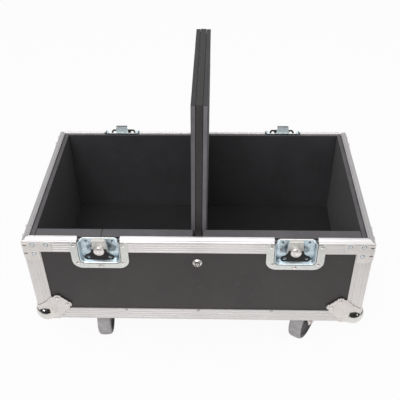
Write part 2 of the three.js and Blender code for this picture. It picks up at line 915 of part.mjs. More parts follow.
const casterX = caseWidth / 2 - casterSideInset;
const casterY = caseDepth / 2 - casterEndInset;
const casters = {
  front_left: { x: -casterX, y: -casterY, turn: THREE.MathUtils.degToRad(4.2) },
  front_right: { x: casterX, y: -casterY, turn: THREE.MathUtils.degToRad(-31.3) },
  back_left: { x: -casterX, y: casterY, turn: THREE.MathUtils.degToRad(168) },
  back_right: { x: casterX, y: casterY, turn: THREE.MathUtils.degToRad(195) },
};

const flightCase = new THREE.Group();
flightCase.name = "subwoofer_flight_case";
for (const side of Object.keys(walls)) {
  const pieces = [rail(side), baseAngle(side), panel(side), liner(side)];
  if (hasLatches(side)) {
    pieces.push(...["left", "right"].map((hand) => latch(side, hand, side === "back")));
  }
  flightCase.add(placed(walls[side], casterHeight, ...pieces));
}
for (const name of Object.keys(corners)) {
  flightCase.add(placed(corners[name], casterHeight, post(name), brace(name), ballCorner(name)));
}
for (const name of Object.keys(casters)) {
  flightCase.add(caster(name, casters[name]));
}
const floor = floorPanel();
floor.position.z = casterHeight;
flightCase.add(floor, divider());

export default flightCase;
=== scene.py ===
"""Dresses the base of a flight case for two subwoofers, and sets it in a plain pale studio."""

import math

import bmesh
import bpy
from bpy.props import FloatProperty, FloatVectorProperty, IntProperty, PointerProperty
from mathutils import Matrix, Vector, noise


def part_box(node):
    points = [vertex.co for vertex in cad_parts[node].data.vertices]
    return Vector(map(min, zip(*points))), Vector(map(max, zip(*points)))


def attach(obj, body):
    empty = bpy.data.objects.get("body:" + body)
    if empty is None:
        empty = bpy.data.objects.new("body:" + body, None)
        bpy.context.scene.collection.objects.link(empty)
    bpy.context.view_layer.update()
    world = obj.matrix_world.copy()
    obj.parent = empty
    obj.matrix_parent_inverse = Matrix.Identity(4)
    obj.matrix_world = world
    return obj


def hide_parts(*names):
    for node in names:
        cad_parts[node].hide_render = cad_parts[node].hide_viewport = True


bl_info = {
    "name": "Flight Case Base",
    "version": (1, 0, 0),
    "blender": (4, 5, 0),
    "location": "View3D > Sidebar > Flight Case",
    "description": "Builds the dressed pieces of a wheeled flight case base",
    "category": "Add Mesh",
}

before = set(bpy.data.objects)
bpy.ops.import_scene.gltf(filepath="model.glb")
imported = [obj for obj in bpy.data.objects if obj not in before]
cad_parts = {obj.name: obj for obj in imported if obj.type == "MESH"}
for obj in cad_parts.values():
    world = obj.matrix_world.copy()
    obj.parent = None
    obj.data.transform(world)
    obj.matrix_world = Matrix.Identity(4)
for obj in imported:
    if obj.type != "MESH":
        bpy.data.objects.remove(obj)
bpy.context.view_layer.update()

# Sizes are in millimetres. Heights start at the underside of the base, and the casters' at the ground.
# Depths start at the outside of the edging.
MM = 0.001
EDGING_WALL = 1.8
FIT_GAP = 0.3
WALL_INSET = EDGING_WALL + FIT_GAP
PANEL = 9.5
BEHIND_PANEL = WALL_INSET + PANEL + FIT_GAP
CUP_PROUD = 3.0
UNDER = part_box("panel_floor")[0].z / MM
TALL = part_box("liner_front")[1].z / MM - UNDER
WIDTH = 2 * (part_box("panel_front")[1].x / MM + WALL_INSET)
DEPTH = 2 * (WALL_INSET - CUP_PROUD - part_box("panel_front")[0].y / MM)


def length_setting(name, description, default):
    return FloatProperty(name=name, description=description, default=default, unit="LENGTH")


def colour_setting(name, description, *channels):
    return FloatVectorProperty(name=name, description=description, default=channels, subtype="COLOR")


class CaseSizes(bpy.types.PropertyGroup):
    """Sizes of the dressed pieces"""

    edge_radius: length_setting("Edge radius", "Radius of the rounded outer edges of the aluminium", 0.004)
    flute_depth: length_setting("Flute depth", "Depth of the grooves along the aluminium edging", 0.0006)
    flute_width: length_setting("Flute width", "Width of each groove along the aluminium edging", 0.0018)
    foam_edge: length_setting("Foam edge", "Radius of the soft edges of the foam", 0.0016)
    foam_unevenness: length_setting("Foam unevenness", "How far foam faces wander from flat", 0.0005)
    round_steps: IntProperty(
        name="Round steps", description="Number of sides of a round piece", default=48, min=12
    )


class CaseColours(bpy.types.PropertyGroup):
    """Colours of the finishes"""

    laminate: colour_setting("Laminate", "Dark laminate of the panels", 0.0425, 0.0370, 0.0365)
    aluminium: colour_setting("Aluminium", "Mill-finished edging", 0.864, 0.829, 0.815)
    steel: colour_setting("Bright steel", "Plated ball corners and casters", 0.788, 0.745, 0.724)
    zinc: colour_setting("Zinc", "Bluish plating of the latch dishes", 0.60, 0.70, 0.76)
    foam: colour_setting("Foam", "Charcoal foam of the liners and the divider", 0.040, 0.038, 0.042)
    cut_foam: colour_setting("Cut foam", "Paler cut edges of the foam", 0.132, 0.126, 0.134)
    plywood: colour_setting("Plywood", "Dark divider core", 0.030, 0.029, 0.029)
    # The black lacquer colour also paints shade: the rings round rivets and screws, the crosses in screw
    # heads, the groove of the latch dishes and the slots of the braces.
    lacquer: colour_setting("Black lacquer", "Wings of the latches, and dark hollows", 0.012, 0.012, 0.013)
    tyre: colour_setting("Tyre", "Grey elastic tyre of the casters", 0.50, 0.48, 0.49)
    floor: colour_setting("Floor", "Pale studio floor", 0.90, 0.90, 0.90)


def sizes():
    return bpy.context.scene.case_sizes


def colours():
    return bpy.context.scene.case_colours


class Signal:
    """A value that varies over a surface. Sums on it add shader nodes."""

    def __init__(self, nodes, socket):
        self.nodes = nodes
        self.socket = socket

    def sum(self, operation, *values):
        node = self.nodes.add("Math", {"operation": operation}, dict(enumerate(values)))
        return Signal(self.nodes, node.outputs[0])

    def __add__(self, other):
        return self.sum("ADD", self, other)

    def __sub__(self, other):
        return self.sum("SUBTRACT", self, other)

    def __rsub__(self, other):
        return self.sum("SUBTRACT", other, self)

    def __mul__(self, other):
        return self.sum("MULTIPLY", self, other)

    __radd__ = __add__
    __rmul__ = __mul__

    def above(self, low, high):
        """0 below low and 1 above high, smoothly between."""
        limits = {"Value": self, "From Min": low, "From Max": high}
        node = self.nodes.add("MapRange", {"interpolation_type": "SMOOTHSTEP"}, limits)
        return Signal(self.nodes, node.outputs[0])


WHITE = (1.0, 1.0, 1.0)
RAY_KINDS = ("Camera", "Glossy", "Transmission")


class Nodes:
    """The shader nodes of a material or of the world."""

    def __init__(self, owner, output):
        owner.use_nodes = True
        self.tree = owner.node_tree
        self.tree.nodes.clear()
        self.output = self.add(output)

    def add(self, kind, settings=(), sockets=()):
        node = self.tree.nodes.new("ShaderNode" + kind)
        for key, value in dict(settings).items():
            setattr(node, key, value)
        for key, value in dict(sockets).items():
            self.join(value, node.inputs[key])
        return node

    def join(self, value, socket):
        if isinstance(value, Signal):
            self.tree.links.new(value.socket, socket)
        elif isinstance(value, bpy.types.NodeSocket):
            self.tree.links.new(value, socket)
        elif socket.type == "RGBA" and len(value) == 3:
            socket.default_value = (*value, 1.0)
        else:
            socket.default_value = value

    def mix(self, share, first, second):
        """Passes from one shader to another with a share."""
        return self.add("MixShader", {}, {0: share, 1: first.outputs[0], 2: second.outputs[0]})

    def show(self, shader):
        """Sends a shader to the output."""
        self.tree.links.new(shader.outputs[0], self.output.inputs[0])

    def seen(self):
        """1 for rays from the camera, a mirror or a clear piece, and 0 for the light that falls."""
        rays = self.add("LightPath").outputs
        camera, glossy, clear = (Signal(self, rays["Is " + kind + " Ray"]) for kind in RAY_KINDS)
        return camera + glossy + clear


class Finish(Nodes):
    """A procedural material."""

    def __init__(self, name):
        self.material = bpy.data.materials.new(name)
        super().__init__(self.material, "OutputMaterial")

    def spot(self, scale=WHITE):
        """Places on the piece, in metres, stretched along its axes."""
        place = self.add("TexCoord").outputs["Object"]
        return self.tint(place, scale)

    def cloud(self, scale, detail=3.0, stretch=WHITE, rough=0.5):
        """Soft noise from 0 to 1, with features about 1 / scale metres across."""
        values = {"Vector": self.spot(stretch), "Scale": scale, "Detail": detail, "Roughness": rough}
        return Signal(self, self.add("TexNoise", {}, values).outputs[0])

    def cells(self, scale):
        """Distance to the nearest of many scattered points."""
        node = self.add("TexVoronoi", {"feature": "F1"}, {"Vector": self.spot(), "Scale": scale})
        return Signal(self, node.outputs["Distance"])

    def axis(self, name):
        """One coordinate of the piece, in metres."""
        return Signal(self, self.add("SeparateXYZ", {}, {0: self.spot()}).outputs[name])

    def facing(self, name):
        """From 1 where the surface faces along an axis, either way, to 0 where it doesn't."""
        node = self.add("SeparateXYZ", {}, {0: self.add("NewGeometry").outputs["Normal"]})
        way = Signal(self, node.outputs[name])
        return way * way

    def blend(self, share, first, second):
        return self.add("Mix", {"data_type": "RGBA"}, {0: share, 6: first, 7: second}).outputs[2]

    def varied(self, share, colour, low, high):
        """A colour that gets lighter or darker with a share."""
        return self.blend(share, scaled(colour, low), scaled(colour, high))

    def tint(self, first, second):
        """One colour or place multiplied by another."""
        return self.add("VectorMath", {"operation": "MULTIPLY"}, {0: first, 1: second}).outputs[0]

    def shaded(self, colour, share, low, high):
        """A colour that changes over the surface, made lighter or darker with a share."""
        return self.tint(colour, self.varied(share, WHITE, low, high))

    def relief(self, height, distance, strength):
        node = self.add("Bump", {}, {"Height": height, "Distance": distance, "Strength": strength})
        return node.outputs["Normal"]

    def surface(self, **sockets):
        names = {key.replace("_", " ").title().replace("Ior", "IOR"): sockets[key] for key in sockets}
        self.show(self.add("BsdfPrincipled", {}, names))
        return self.material


def scaled(colour, share):
    return tuple(channel * share for channel in colour)


# Colours of what lies on a finish or shows through it, and the painted shade on the tops of the edging
DUST = (0.13, 0.125, 0.12)
SCUFFED = (0.12, 0.115, 0.11)
TOP_PAINTED_SHADE = (0.84, 0.86, 0.90)
PALE_VENEER = (0.078, 0.070, 0.068)
BARE_CHIP = (0.16, 0.16, 0.17)


def laminate_finish(colour):
    """Film on plywood: a fine pebble, with dust, scuffs and slow changes of tone."""
    finish = Finish("laminate")
    grain = finish.cloud(950.0, 2.0)
    pebble = finish.cells(620.0)
    wear = finish.cloud(9.0, 6.0, rough=0.65)
    dust = finish.cloud(70.0, 5.0, rough=0.7).above(0.56, 0.78)
    scuff = finish.cloud(38.0, 8.0, (1.0, 1.0, 7.0), 0.7).above(0.66, 0.74)
    base = finish.varied(wear.above(0.3, 0.7), colour, 0.90, 1.12)
    speckled = finish.blend(grain.above(0.35, 0.75) * 0.5, base, scaled(colour, 1.35))
    dusty = finish.blend(dust * 0.35, speckled, DUST)
    return finish.surface(
        base_color=finish.blend(scuff * 0.4, dusty, SCUFFED),
        roughness=0.42 + grain * 0.16 + dust * 0.12 - wear * 0.08,
        specular_ior_level=0.42,
        normal=finish.relief(pebble * 0.7 + grain * 0.5, 0.00022, 0.55),
    )


def edging_finish(name, colour, along):
    """Mill-finished aluminium whose fine drawing lines run along one axis."""
    finish = Finish(name)
    stretch = tuple(0.003 if axis == along else 1.0 for axis in "XYZ")
    lines = finish.cloud(1500.0, 2.0, stretch)
    bands = finish.cloud(430.0, 2.0, stretch)
    blotch = finish.cloud(16.0, 5.0, rough=0.6)
    scratch = finish.cloud(260.0, 2.0, (0.35, 0.35, 0.35), 0.6).above(0.70, 0.76)
    dull = finish.varied(blotch.above(0.25, 0.8), colour, 0.94, 1.04)
    drawn = finish.blend(bands.above(0.3, 0.7) * 0.4, dull, scaled(colour, 0.86))
    marked = finish.blend(scratch * 0.4, drawn, scaled(colour, 0.6))
    # Faces that point up are tinted darker and cooler: painted shade, not a colour of the metal.
    shade = finish.blend(finish.facing("Z").above(0.5, 0.9), WHITE, TOP_PAINTED_SHADE)
    return finish.surface(
        base_color=finish.tint(marked, shade),
        metallic=0.62,
        roughness=0.36 + bands * 0.14 + blotch * 0.08,
        normal=finish.relief(lines * 0.6 + bands * 0.4, 0.0002, 0.8),
    )


def plated_finish(name, colour, roughness, metallic=0.9, dents=0.00018, haze_and_painted_reflection=0.78):
    """Pressed and plated steel: faint dimples from the press, spangle and handling marks."""
    finish = Finish(name)
    spangle = finish.cells(240.0)
    press = finish.cloud(70.0, 3.0)
    haze = finish.cloud(45.0, 6.0, rough=0.65)
    fine = finish.cloud(1400.0, 2.0)
    tone = finish.varied(spangle.above(0.2, 0.8) * 0.5, colour, 1.05, 0.90)
    return finish.surface(
        # The haze mixes in a darker tone. This is handling marks, and on the zinc and lip finishes mostly
        # painted reflection.
        base_color=finish.blend(haze.above(0.45, 0.8) * 0.6, tone, scaled(colour, haze_and_painted_reflection)),
        metallic=metallic,
        roughness=roughness + haze * 0.16 + fine * 0.05,
        normal=finish.relief(press * 0.8 + fine * 0.2, dents, 0.5),
    )


def foam_finish(name, colour, cut_colour, cut_axis):
    """Closed-cell foam: matt, finely grained, and paler where it was cut across."""
    finish = Finish(name)
    pores = finish.cells(1150.0)
    grain = finish.cloud(620.0, 3.0)
    cloud = finish.cloud(14.0, 5.0, rough=0.6)
    rub = finish.cloud(45.0, 6.0, (1.0, 1.0, 0.4), 0.7).above(0.55, 0.8)
    tone = finish.blend(finish.facing(cut_axis).above(0.55, 0.8), colour, cut_colour)
    clouded = finish.shaded(tone, cloud.above(0.3, 0.75), 0.86, 1.14)
    pored = finish.shaded(clouded, pores.above(0.05, 0.35), 0.6, 1.0)
    return finish.surface(
        base_color=finish.shaded(pored, rub * 0.35, 1.0, 1.8),
        roughness=0.86 + grain * 0.12,
        specular_ior_level=0.3,
        sheen_weight=0.12,
        sheen_roughness=0.6,
        normal=finish.relief(grain * 0.7 + pores * 0.5, 0.0003, 0.7),
    )


def plywood_finish(colour):
    """Film-faced plywood whose layers show as fine lines along its edges."""
    finish = Finish("plywood")
    wobble = finish.cloud(30.0, 3.0) * 0.0006
    across = (finish.axis("X") + wobble) * 3800.0
    layers = across.sum("SINE", across) * 0.5 + 0.5
    edge = 1.0 - finish.facing("X")
    fibre = finish.cloud(900.0, 3.0, (1.0, 0.15, 0.15))
    film = finish.varied(fibre.above(0.3, 0.7), colour, 0.85, 1.15)
    veneer = finish.blend(layers, scaled(colour, 0.55), PALE_VENEER)
    stained = finish.blend(fibre.above(0.4, 0.7) * 0.6, veneer, scaled(colour, 0.8))
    # Faces that point up are darkened by half: painted shade on the top edge.
    shaded = finish.shaded(stained, finish.facing("Z").above(0.4, 0.7), 1.0, 0.5)
    return finish.surface(
        base_color=finish.blend(edge.above(0.4, 0.7), film, shaded),
        roughness=0.58 + fibre * 0.2,
        normal=finish.relief(fibre + layers * edge * 0.8, 0.0002, 0.5),
    )


def lacquer_finish(colour):
    """Black lacquer with a little peel, chipped to the metal in small spots."""
    finish = Finish("black_lacquer_and_painted_shade")
    # The same finish paints the shade in hollows, rings and slots.
    peel = finish.cloud(420.0, 2.0)
    chips = finish.cloud(230.0, 6.0, rough=0.7).above(0.70, 0.74)
    return finish.surface(
        base_color=finish.blend(chips * 0.5, finish.varied(peel, colour, 0.8, 1.6), BARE_CHIP),
        roughness=0.34 + peel * 0.12,
        metallic=chips * 0.5,
        specular_ior_level=0.25,
        normal=finish.relief(peel, 0.00008, 0.4),
    )


def tyre_finish(name, colour):
    """Elastic tyre: matt, with a fine skin and the dust of floors."""
    finish = Finish(name)
    skin = finish.cloud(760.0, 3.0)
    dust = finish.cloud(60.0, 6.0, rough=0.7)
    base = finish.varied(dust.above(0.35, 0.75), colour, 0.86, 1.18)
    return finish.surface(
        base_color=finish.blend(dust.above(0.6, 0.85) * 0.5, base, scaled(colour, 0.5)),
        roughness=0.62 + skin * 0.2,
        specular_ior_level=0.35,
        normal=finish.relief(skin + dust * 0.6, 0.0002, 0.5),
    )


def recipes():
    """How each finish is made: its function, then the name and the values that the function takes."""
    aluminium, steel = colours().aluminium, colours().steel
    foam, cut = colours().foam, colours().cut_foam
    return {
        "laminate": (laminate_finish, colours().laminate),
        "aluminium_X": (edging_finish, "long_edging", aluminium, "X"),
        # The side, upright and base edging are darker copies of the same aluminium: painted shade.
        "aluminium_Y": (edging_finish, "side_edging", scaled(aluminium, 0.6), "Y"),
        "aluminium_Z": (edging_finish, "upright_edging", scaled(aluminium, 0.95), "Z"),
        "aluminium_base": (edging_finish, "base_edging", scaled(aluminium, 0.88), "X"),
        "steel": (plated_finish, "bright_steel", steel, 0.34),
        "polished": (plated_finish, "polished_steel", scaled(steel, 1.15), 0.18),
        "ball": (plated_finish, "ball_polish", (0.72, 0.70, 0.67), 0.05, 1.0, 0.00002),
        "satin": (plated_finish, "satin_steel", (0.93, 0.92, 0.89), 0.38, 0.35),
        "flange": (plated_finish, "satin_zinc", (0.83, 0.84, 0.81), 0.36),
        "brace": (plated_finish, "brace_steel", (0.90, 0.855, 0.825), 0.36, 0.8),
        "head": (plated_finish, "screw_zinc", (0.93, 0.95, 0.98), 0.28, 0.4),
        # The claw's inner face is a pale, bluish, non-metal copy of the plate: painted light.
        "claw_back": (plated_finish, "claw_zinc", (0.84, 0.96, 1.0), 0.4, 0.0),
        "front_hook": (plated_finish, "hook_steel", (0.60, 0.58, 0.55), 0.45),
        # The back hooks are a much darker copy of the hook steel: painted shade.
        "back_hook": (plated_finish, "dark_hook_steel", (0.20, 0.21, 0.22), 0.5, 0.7),
        # The lip and the zinc tub take strong dark haze patches that stand for reflections: painted
        # reflection.
        "lip": (plated_finish, "bright_zinc", (0.74, 0.83, 0.88), 0.24, 0.7, 0.0008, 0.6),
        "zinc": (plated_finish, "blue_zinc", colours().zinc, 0.06, 0.96, 0.002, 0.3),
        # The foam copies differ only in light. The back foam, the divider's right sheet and the divider's
        # cut faces are lighter: painted light. The side liners and the floor lining are darker: painted
        # shade.
        "front_foam": (foam_finish, "liner_foam", foam, cut, "Z"),
        "back_foam": (foam_finish, "back_foam", scaled(foam, 1.25), cut, "Z"),
        "side_foam": (foam_finish, "side_foam", scaled(foam, 0.45), cut, "Z"),
        "divider_left": (foam_finish, "divider_foam", foam, scaled(cut, 1.08), "Y"),
        "divider_right": (foam_finish, "divider_foam_right", scaled(foam, 1.15), scaled(cut, 1.32), "Y"),
        "lining": (foam_finish, "lining", scaled(foam, 0.5), scaled(foam, 0.5), "Z"),
        "plywood": (plywood_finish, colours().plywood),
        "lacquer": (lacquer_finish, colours().lacquer),
        "tyre": (tyre_finish, "tyre", colours().tyre),
        "wheel_disc": (tyre_finish, "wheel_disc", scaled(colours().tyre, 0.22)),
    }


FINISHES = {}


def finish_for(name):
    """Each finish is made once, when a piece first needs it."""
    if name not in FINISHES:
        maker, *values = recipes()[name]
        FINISHES[name] = maker(*values)
    return FINISHES[name]


def rounded(corners, steps=6):
    """The points of an outline through corners (x, y) or (x, y, radius)."""
    points = []
    for i, (x, y, *radius) in enumerate(corners):
        corner = Vector((x, y))
        if not any(radius):
            points.append(corner)
            continue
        back = (Vector(corners[i - 1][:2]) - corner).normalized()
        on = (Vector(corners[(i + 1) % len(corners)][:2]) - corner).normalized()
        half = math.acos(max(-1.0, min(1.0, back.dot(on)))) / 2
        centre = corner + (back + on).normalized() * (radius[0] / math.sin(half))
        start = corner + back * (radius[0] / math.tan(half)) - centre
        sweep = (math.pi - 2 * half) * math.copysign(1, on.x * back.y - on.y * back.x)
        points += [centre + Matrix.Rotation(sweep * step / steps, 2) @ start for step in range(steps + 1)]
    return points


def arc(x, y, radius, start, end, steps=12):
    """Points of an arc, with its angles in degrees."""
    angles = [math.radians(start + (end - start) * i / steps) for i in range(steps + 1)]
    return [Vector((x + radius * math.cos(a), y + radius * math.sin(a))) for a in angles]


def add_object(name, data):
    thing = bpy.data.objects.new(name, data)
    bpy.context.scene.collection.objects.link(thing)
    return thing


def mesh_of(name, faces, *materials):
    """Turns a bmesh into mesh data with its materials."""
    data = bpy.data.meshes.new(name)
    faces.to_mesh(data)
    faces.free()
    for material in materials:
        data.materials.append(material)
    return data


WELD = 0.00002


class Shape:
    """Gathers faces in millimetres for one piece. Each set has a finish, by name, and a matrix."""

    def __init__(self, place):
        self.mesh = bmesh.new()
        self.place = place
        self.finishes = []

    def faces(self, points, faces, finish, place=None):
        matrix = self.place @ (place or Matrix())
        vertices = [self.mesh.verts.new(matrix @ Vector(point)) for point in points]
        if finish not in self.finishes:
            self.finishes.append(finish)
        for face in faces:
            corners = [vertices[i] for i in face]
            self.mesh.faces.new(corners).material_index = self.finishes.index(finish)

    def loft(self, rings, finish, place=None, closed=True, capped=True):
        """Rings of points joined by faces, each closed on itself where closed."""
        count = len(rings[0])
        points = [point for ring in rings for point in ring]
        faces = []
        for a in range(0, len(points) - count, count):
            for j in range(count if closed else count - 1):
                k = (j + 1) % count
                faces.append((a + j, a + k, a + count + k, a + count + j))
        if capped:
            faces.append(tuple(reversed(range(count))))
            faces.append(tuple(range(len(points) - count, len(points))))
        self.faces(points, faces, finish, place)

    def turned(self, profile, finish, place=None, steps=48, capped=True):
        """A form turned about Z from (radius, height) points, capped at both ends or left open."""
        turns = [2 * math.pi * i / steps for i in range(steps)]
        rings = []
        for radius, height in profile:
            reach = max(radius, 0.001)
            rings.append([(reach * math.cos(a), reach * math.sin(a), height) for a in turns])
        self.loft(rings, finish, place, capped=capped)

    def plate(self, outline, low, high, finish, place=None, bevel=0.3, holes=()):
        """A flat plate between two heights, with softened edges and holes."""
        curve = bpy.data.curves.new("outline", "CURVE")
        curve.dimensions = "2D"
        curve.fill_mode = "BOTH"
        curve.extrude = max((high - low) / 2 - bevel, 0.0001)
        curve.bevel_depth = bevel
        curve.bevel_resolution = 1
        curve.offset = -bevel
        for points in [outline, *[list(reversed(hole)) for hole in holes]]:
            spline = curve.splines.new("POLY")
            spline.points.add(len(points) - 1)
            for knot, (x, y) in zip(spline.points, points):
                knot.co = (x, y, 0, 1)
            spline.use_cyclic_u = True
        holder = bpy.data.objects.new("outline", curve)
        mesh = bpy.data.meshes.new_from_object(holder)
        points = [(v.co.x, v.co.y, v.co.z + (low + high) / 2) for v in mesh.vertices]
        self.faces(points, [tuple(polygon.vertices) for polygon in mesh.polygons], finish, place)
        bpy.data.objects.remove(holder)
        bpy.data.curves.remove(curve)
        bpy.data.meshes.remove(mesh)

    def data(self, name):
        """The faces as mesh data, all of them facing outwards."""
        bmesh.ops.recalc_face_normals(self.mesh, faces=self.mesh.faces)
        return mesh_of(name, self.mesh, *map(finish_for, self.finishes))

    def piece(self, name, body, nodes, angle=35.0):
        """Turns the faces into a piece that rides on a body and stands for CAD nodes."""
        bmesh.ops.remove_doubles(self.mesh, verts=self.mesh.verts, dist=WELD)
        data = self.data(name)
        for polygon in data.polygons:
            polygon.use_smooth = True
        data.set_sharp_from_angle(angle=math.radians(angle))
        thing = add_object(name, data)
        thing.modifiers.new("even_shading", "WEIGHTED_NORMAL").keep_sharp = True
        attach(thing, body)
        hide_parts(*nodes)


def shift(x=0.0, y=0.0, z=0.0):
    return Matrix.Translation((x, y, z))


def turn(axis, degrees):
    return Matrix.Rotation(math.radians(degrees), 4, axis)


# Each wall seen from outside, X along it and Y inwards, and each corner at the left end of a wall
METRES = Matrix.Scale(MM, 4)
AXES = {"front": "X", "right": "Y", "back": "X", "left": "Y"}
LENGTHS = {side: WIDTH if axis == "X" else DEPTH for side, axis in AXES.items()}
SIDES = {}
CORNERS = {}
for number, (side, length) in enumerate(LENGTHS.items()):
    reach = (WIDTH + DEPTH - length) / 2
    SIDES[side] = METRES @ turn("Z", 90 * number) @ shift(0, -reach, UNDER)
    corner = ("front_left", "front_right", "back_right", "back_left")[number]
    CORNERS[corner] = SIDES[side] @ shift(-length / 2)

# Turns for forms that are made flat or about Z: out of a wall, out of the wall beside it, along X, below
OUTWARDS = turn("X", 90)
SIDEWAYS = turn("Y", -90)
ACROSS = turn("Y", 90)
FLIPPED = Matrix.Scale(-1, 4, (0, 0, 1))

# An outline on the wall beside it, and a corner's form with its axes passed on or swapped
SIDE_PLATE = SIDEWAYS @ turn("Z", -90) @ Matrix.Scale(-1, 4, (1, 0, 0))
SWAPPED = Matrix(((0, 0, 1, 0), (1, 0, 0, 0), (0, 1, 0, 0), (0, 0, 0, 1)))
MIRRORED = Matrix(((0, 1, 0, 0), (1, 0, 0, 0), (0, 0, 1, 0), (0, 0, 0, 1)))


# Aluminium edging
EDGE_STEPS = 5
FLUTE_FLOOR = 0.55
RAIL_SKIRT = 28
RAIL_TOP = 5
LEDGE = 14
TONGUE = 3.5
RAIL_GAP = 0.25
ANGLE_LEG = 34
ANGLE_SHORT = 20
ANGLE_MITRE = 0.4
ANGLE_RIVETS = (-153.5, 0, 153.5)
RIVET_HEIGHT = 31
LATCH_X = 191.8
NOTCH = 42.3


def fluted(start, end, outward, places):
    """Points from start to end along a straight side, with a groove at each place along it."""
    start, end, outward = Vector(start), Vector(end), Vector(outward)
    way = (end - start).normalized()
    half, depth = sizes().flute_width / MM / 2, sizes().flute_depth / MM
    groove = [(-half, 0), (-half * FLUTE_FLOOR, depth), (half * FLUTE_FLOOR, depth), (half, 0)]
    points = [start]
    for place in places:
        points += [start + way * (place + along) - outward * drop for along, drop in groove]
    return points + [end]


def lip_profile():
    """What is left of a rail behind a latch, in (depth, height)."""
    low, high = TALL - LEDGE, TALL - RAIL_TOP
    return [(BEHIND_PANEL, low), (BEHIND_PANEL, high), (LEDGE, high), (LEDGE, low)]


def rail_profile():
    """The rim rail in (depth, height): fluted skirt, rounded edge, flat, tongue and lip."""
    radius = sizes().edge_radius / MM
    skirt = fluted((0, TALL - RAIL_SKIRT), (0, TALL - radius), (-1, 0), (4.5, 10.0, 15.5, 21.0))
    crown = arc(radius, TALL - radius, radius, 180, 90, EDGE_STEPS)
    top = TALL + TONGUE
    tongue = [(5.0, TALL), (5.4, TALL + 0.2), (8.6, top - 0.4), (9.2, top - 0.08), (9.8, top)]
    tongue += fluted((9.8, top), (12.8, top), (0, 1), (1.4,))[1:-1]
    tongue += arc(12.9, top - 1.0, 1.0, 90, 0, EDGE_STEPS)
    inside = [(LEDGE, TALL - LEDGE), (BEHIND_PANEL, TALL - LEDGE), (BEHIND_PANEL, TALL - RAIL_TOP)]
    inside += [(EDGING_WALL, TALL - RAIL_TOP), (EDGING_WALL, TALL - RAIL_SKIRT)]
    return skirt + crown + tongue + inside


def angle_profile(*flutes):
    """Double angle in (depth, height) or in plan: two fluted legs with a rounded edge."""
    radius = sizes().edge_radius / MM
    up = fluted((0, radius), (0, ANGLE_LEG), (-1, 0), flutes)
    back = [ANGLE_LEG - radius - place for place in reversed(flutes)]
    across = fluted((ANGLE_LEG, 0), (radius, 0), (0, -1), back)
    edge = arc(radius, radius, radius, 270, 180, EDGE_STEPS)
    inside = [(EDGING_WALL, ANGLE_LEG), (EDGING_WALL, EDGING_WALL), (ANGLE_LEG, EDGING_WALL)]
    return across + edge[1:-1] + up + inside


def run(profile, start, end, mitre_start=0, mitre_end=0):
    """A profile in (depth, height) carried along X, its ends square or cut at the corner's mitre."""
    return [
        [(start + depth * mitre_start, depth, height) for depth, height in profile],
        [(end - depth * mitre_end, depth, height) for depth, height in profile],
    ]


def make_rails():
    """The rim rails. The long ones are notched for the latches."""
    for side, place in SIDES.items():
        shape = Shape(place)
        finish = "aluminium_" + AXES[side]
        half = LENGTHS[side] / 2 - RAIL_GAP
        spans = [(-half, half, 1, 1)]
        if AXES[side] == "X":
            spans = [
                (-half, -LATCH_X - NOTCH, 1, 0),
                (-LATCH_X + NOTCH, LATCH_X - NOTCH, 0, 0),
                (LATCH_X + NOTCH, half, 0, 1),
            ]
            for middle in (-LATCH_X, LATCH_X):
                shape.loft(run(lip_profile(), middle - NOTCH, middle + NOTCH), finish)
        for span in spans:
            shape.loft(run(rail_profile(), *span), finish)
        shape.piece("rail_" + side + "_fluted", "base", ["rail_" + side])


def make_angles():
    """The base angles. The long ones are riveted."""
    for side, place in SIDES.items():
        shape = Shape(place)
        lengthwise = AXES[side] == "X"
        half = LENGTHS[side] / 2 - ANGLE_SHORT
        finish = "aluminium_base" if lengthwise else "aluminium_Y"
        profile = angle_profile(6.0, 12.5, 19.0, 25.5)
        shape.loft(run(profile, -half, half, ANGLE_MITRE, ANGLE_MITRE), finish)
        for x in ANGLE_RIVETS if lengthwise else ():
            rivet(shape, shift(x, 0, RIVET_HEIGHT) @ OUTWARDS, 2.3, 0.9, 0.7, finish)
        shape.piece("base_angle_" + side + "_fluted", "base", ["base_angle_" + side])


def make_posts():
    levels = (ANGLE_LEG + FIT_GAP, TALL - RAIL_SKIRT - FIT_GAP)
    for corner, place in CORNERS.items():
        shape = Shape(place)
        rings = [[(x, y, height) for x, y in angle_profile(7.0, 14.5, 22.0)] for height in levels]
        shape.loft(rings, "aluminium_Z")
        shape.piece("post_" + corner + "_fluted", "base", ["post_" + corner])


# Screws and rivets
def rod(radius, low, high):
    """The profile of a plain round rod or disc."""
    return [(0, low), (radius, low), (radius, high), (0, high)]


def cross_recess(shape, place, reach, low, high):
    """The cross in a screw's head: a black shape on the head, painted shade for the recess."""
    width = reach / 5
    corners = [(-reach, -width), (reach, -width), (reach, width), (-reach, width)]
    for angle in (20, 110):
        rings = [[(x, y, z) for x, y in corners] for z in (low, high)]
        shape.loft(rings, "lacquer", place @ turn("Z", angle))


def screw(shape, place):
    """A round cross-head screw in a dished washer, with a black ring of painted shade between the washer
    and the head.
    """
    washer = [(0, -0.2), (5.7, -0.2), (5.7, 0.15), (5.3, 0.5), (4.8, 0.3), (4.8, -0.1), (0, -0.1)]
    shape.turned(washer, "head", place, 32)
    shape.turned(rod(4.75, -0.1, 0.1), "lacquer", place, 32)
    shape.turned([(0, 0.1), (3.7, 0.1), (3.6, 0.7), (2.6, 1.3), (0, 1.5)], "head", place, 28)
    cross_recess(shape, place, 1.2, 1.0, 1.52)


def rivet(shape, place, radius, height, shade=0.3, finish="polished"):
    """A tubular rivet: a domed head with a small hollow at its centre, in a dark ring of shade."""
    low = 0.25
    shape.turned(rod(radius + shade, -0.3, 0.12), "lacquer", place, 28)
    head = [(0, -0.6), (radius, -0.6), (radius, low)]
    for angle in map(math.radians, (20, 40, 58)):
        head.append((radius * math.cos(angle), low + (height - low) * math.sin(angle)))
    head += [(radius * 0.36, height), (radius * 0.26, height - 0.5), (0, height - 0.6)]
    shape.turned(head, finish, place, 24)


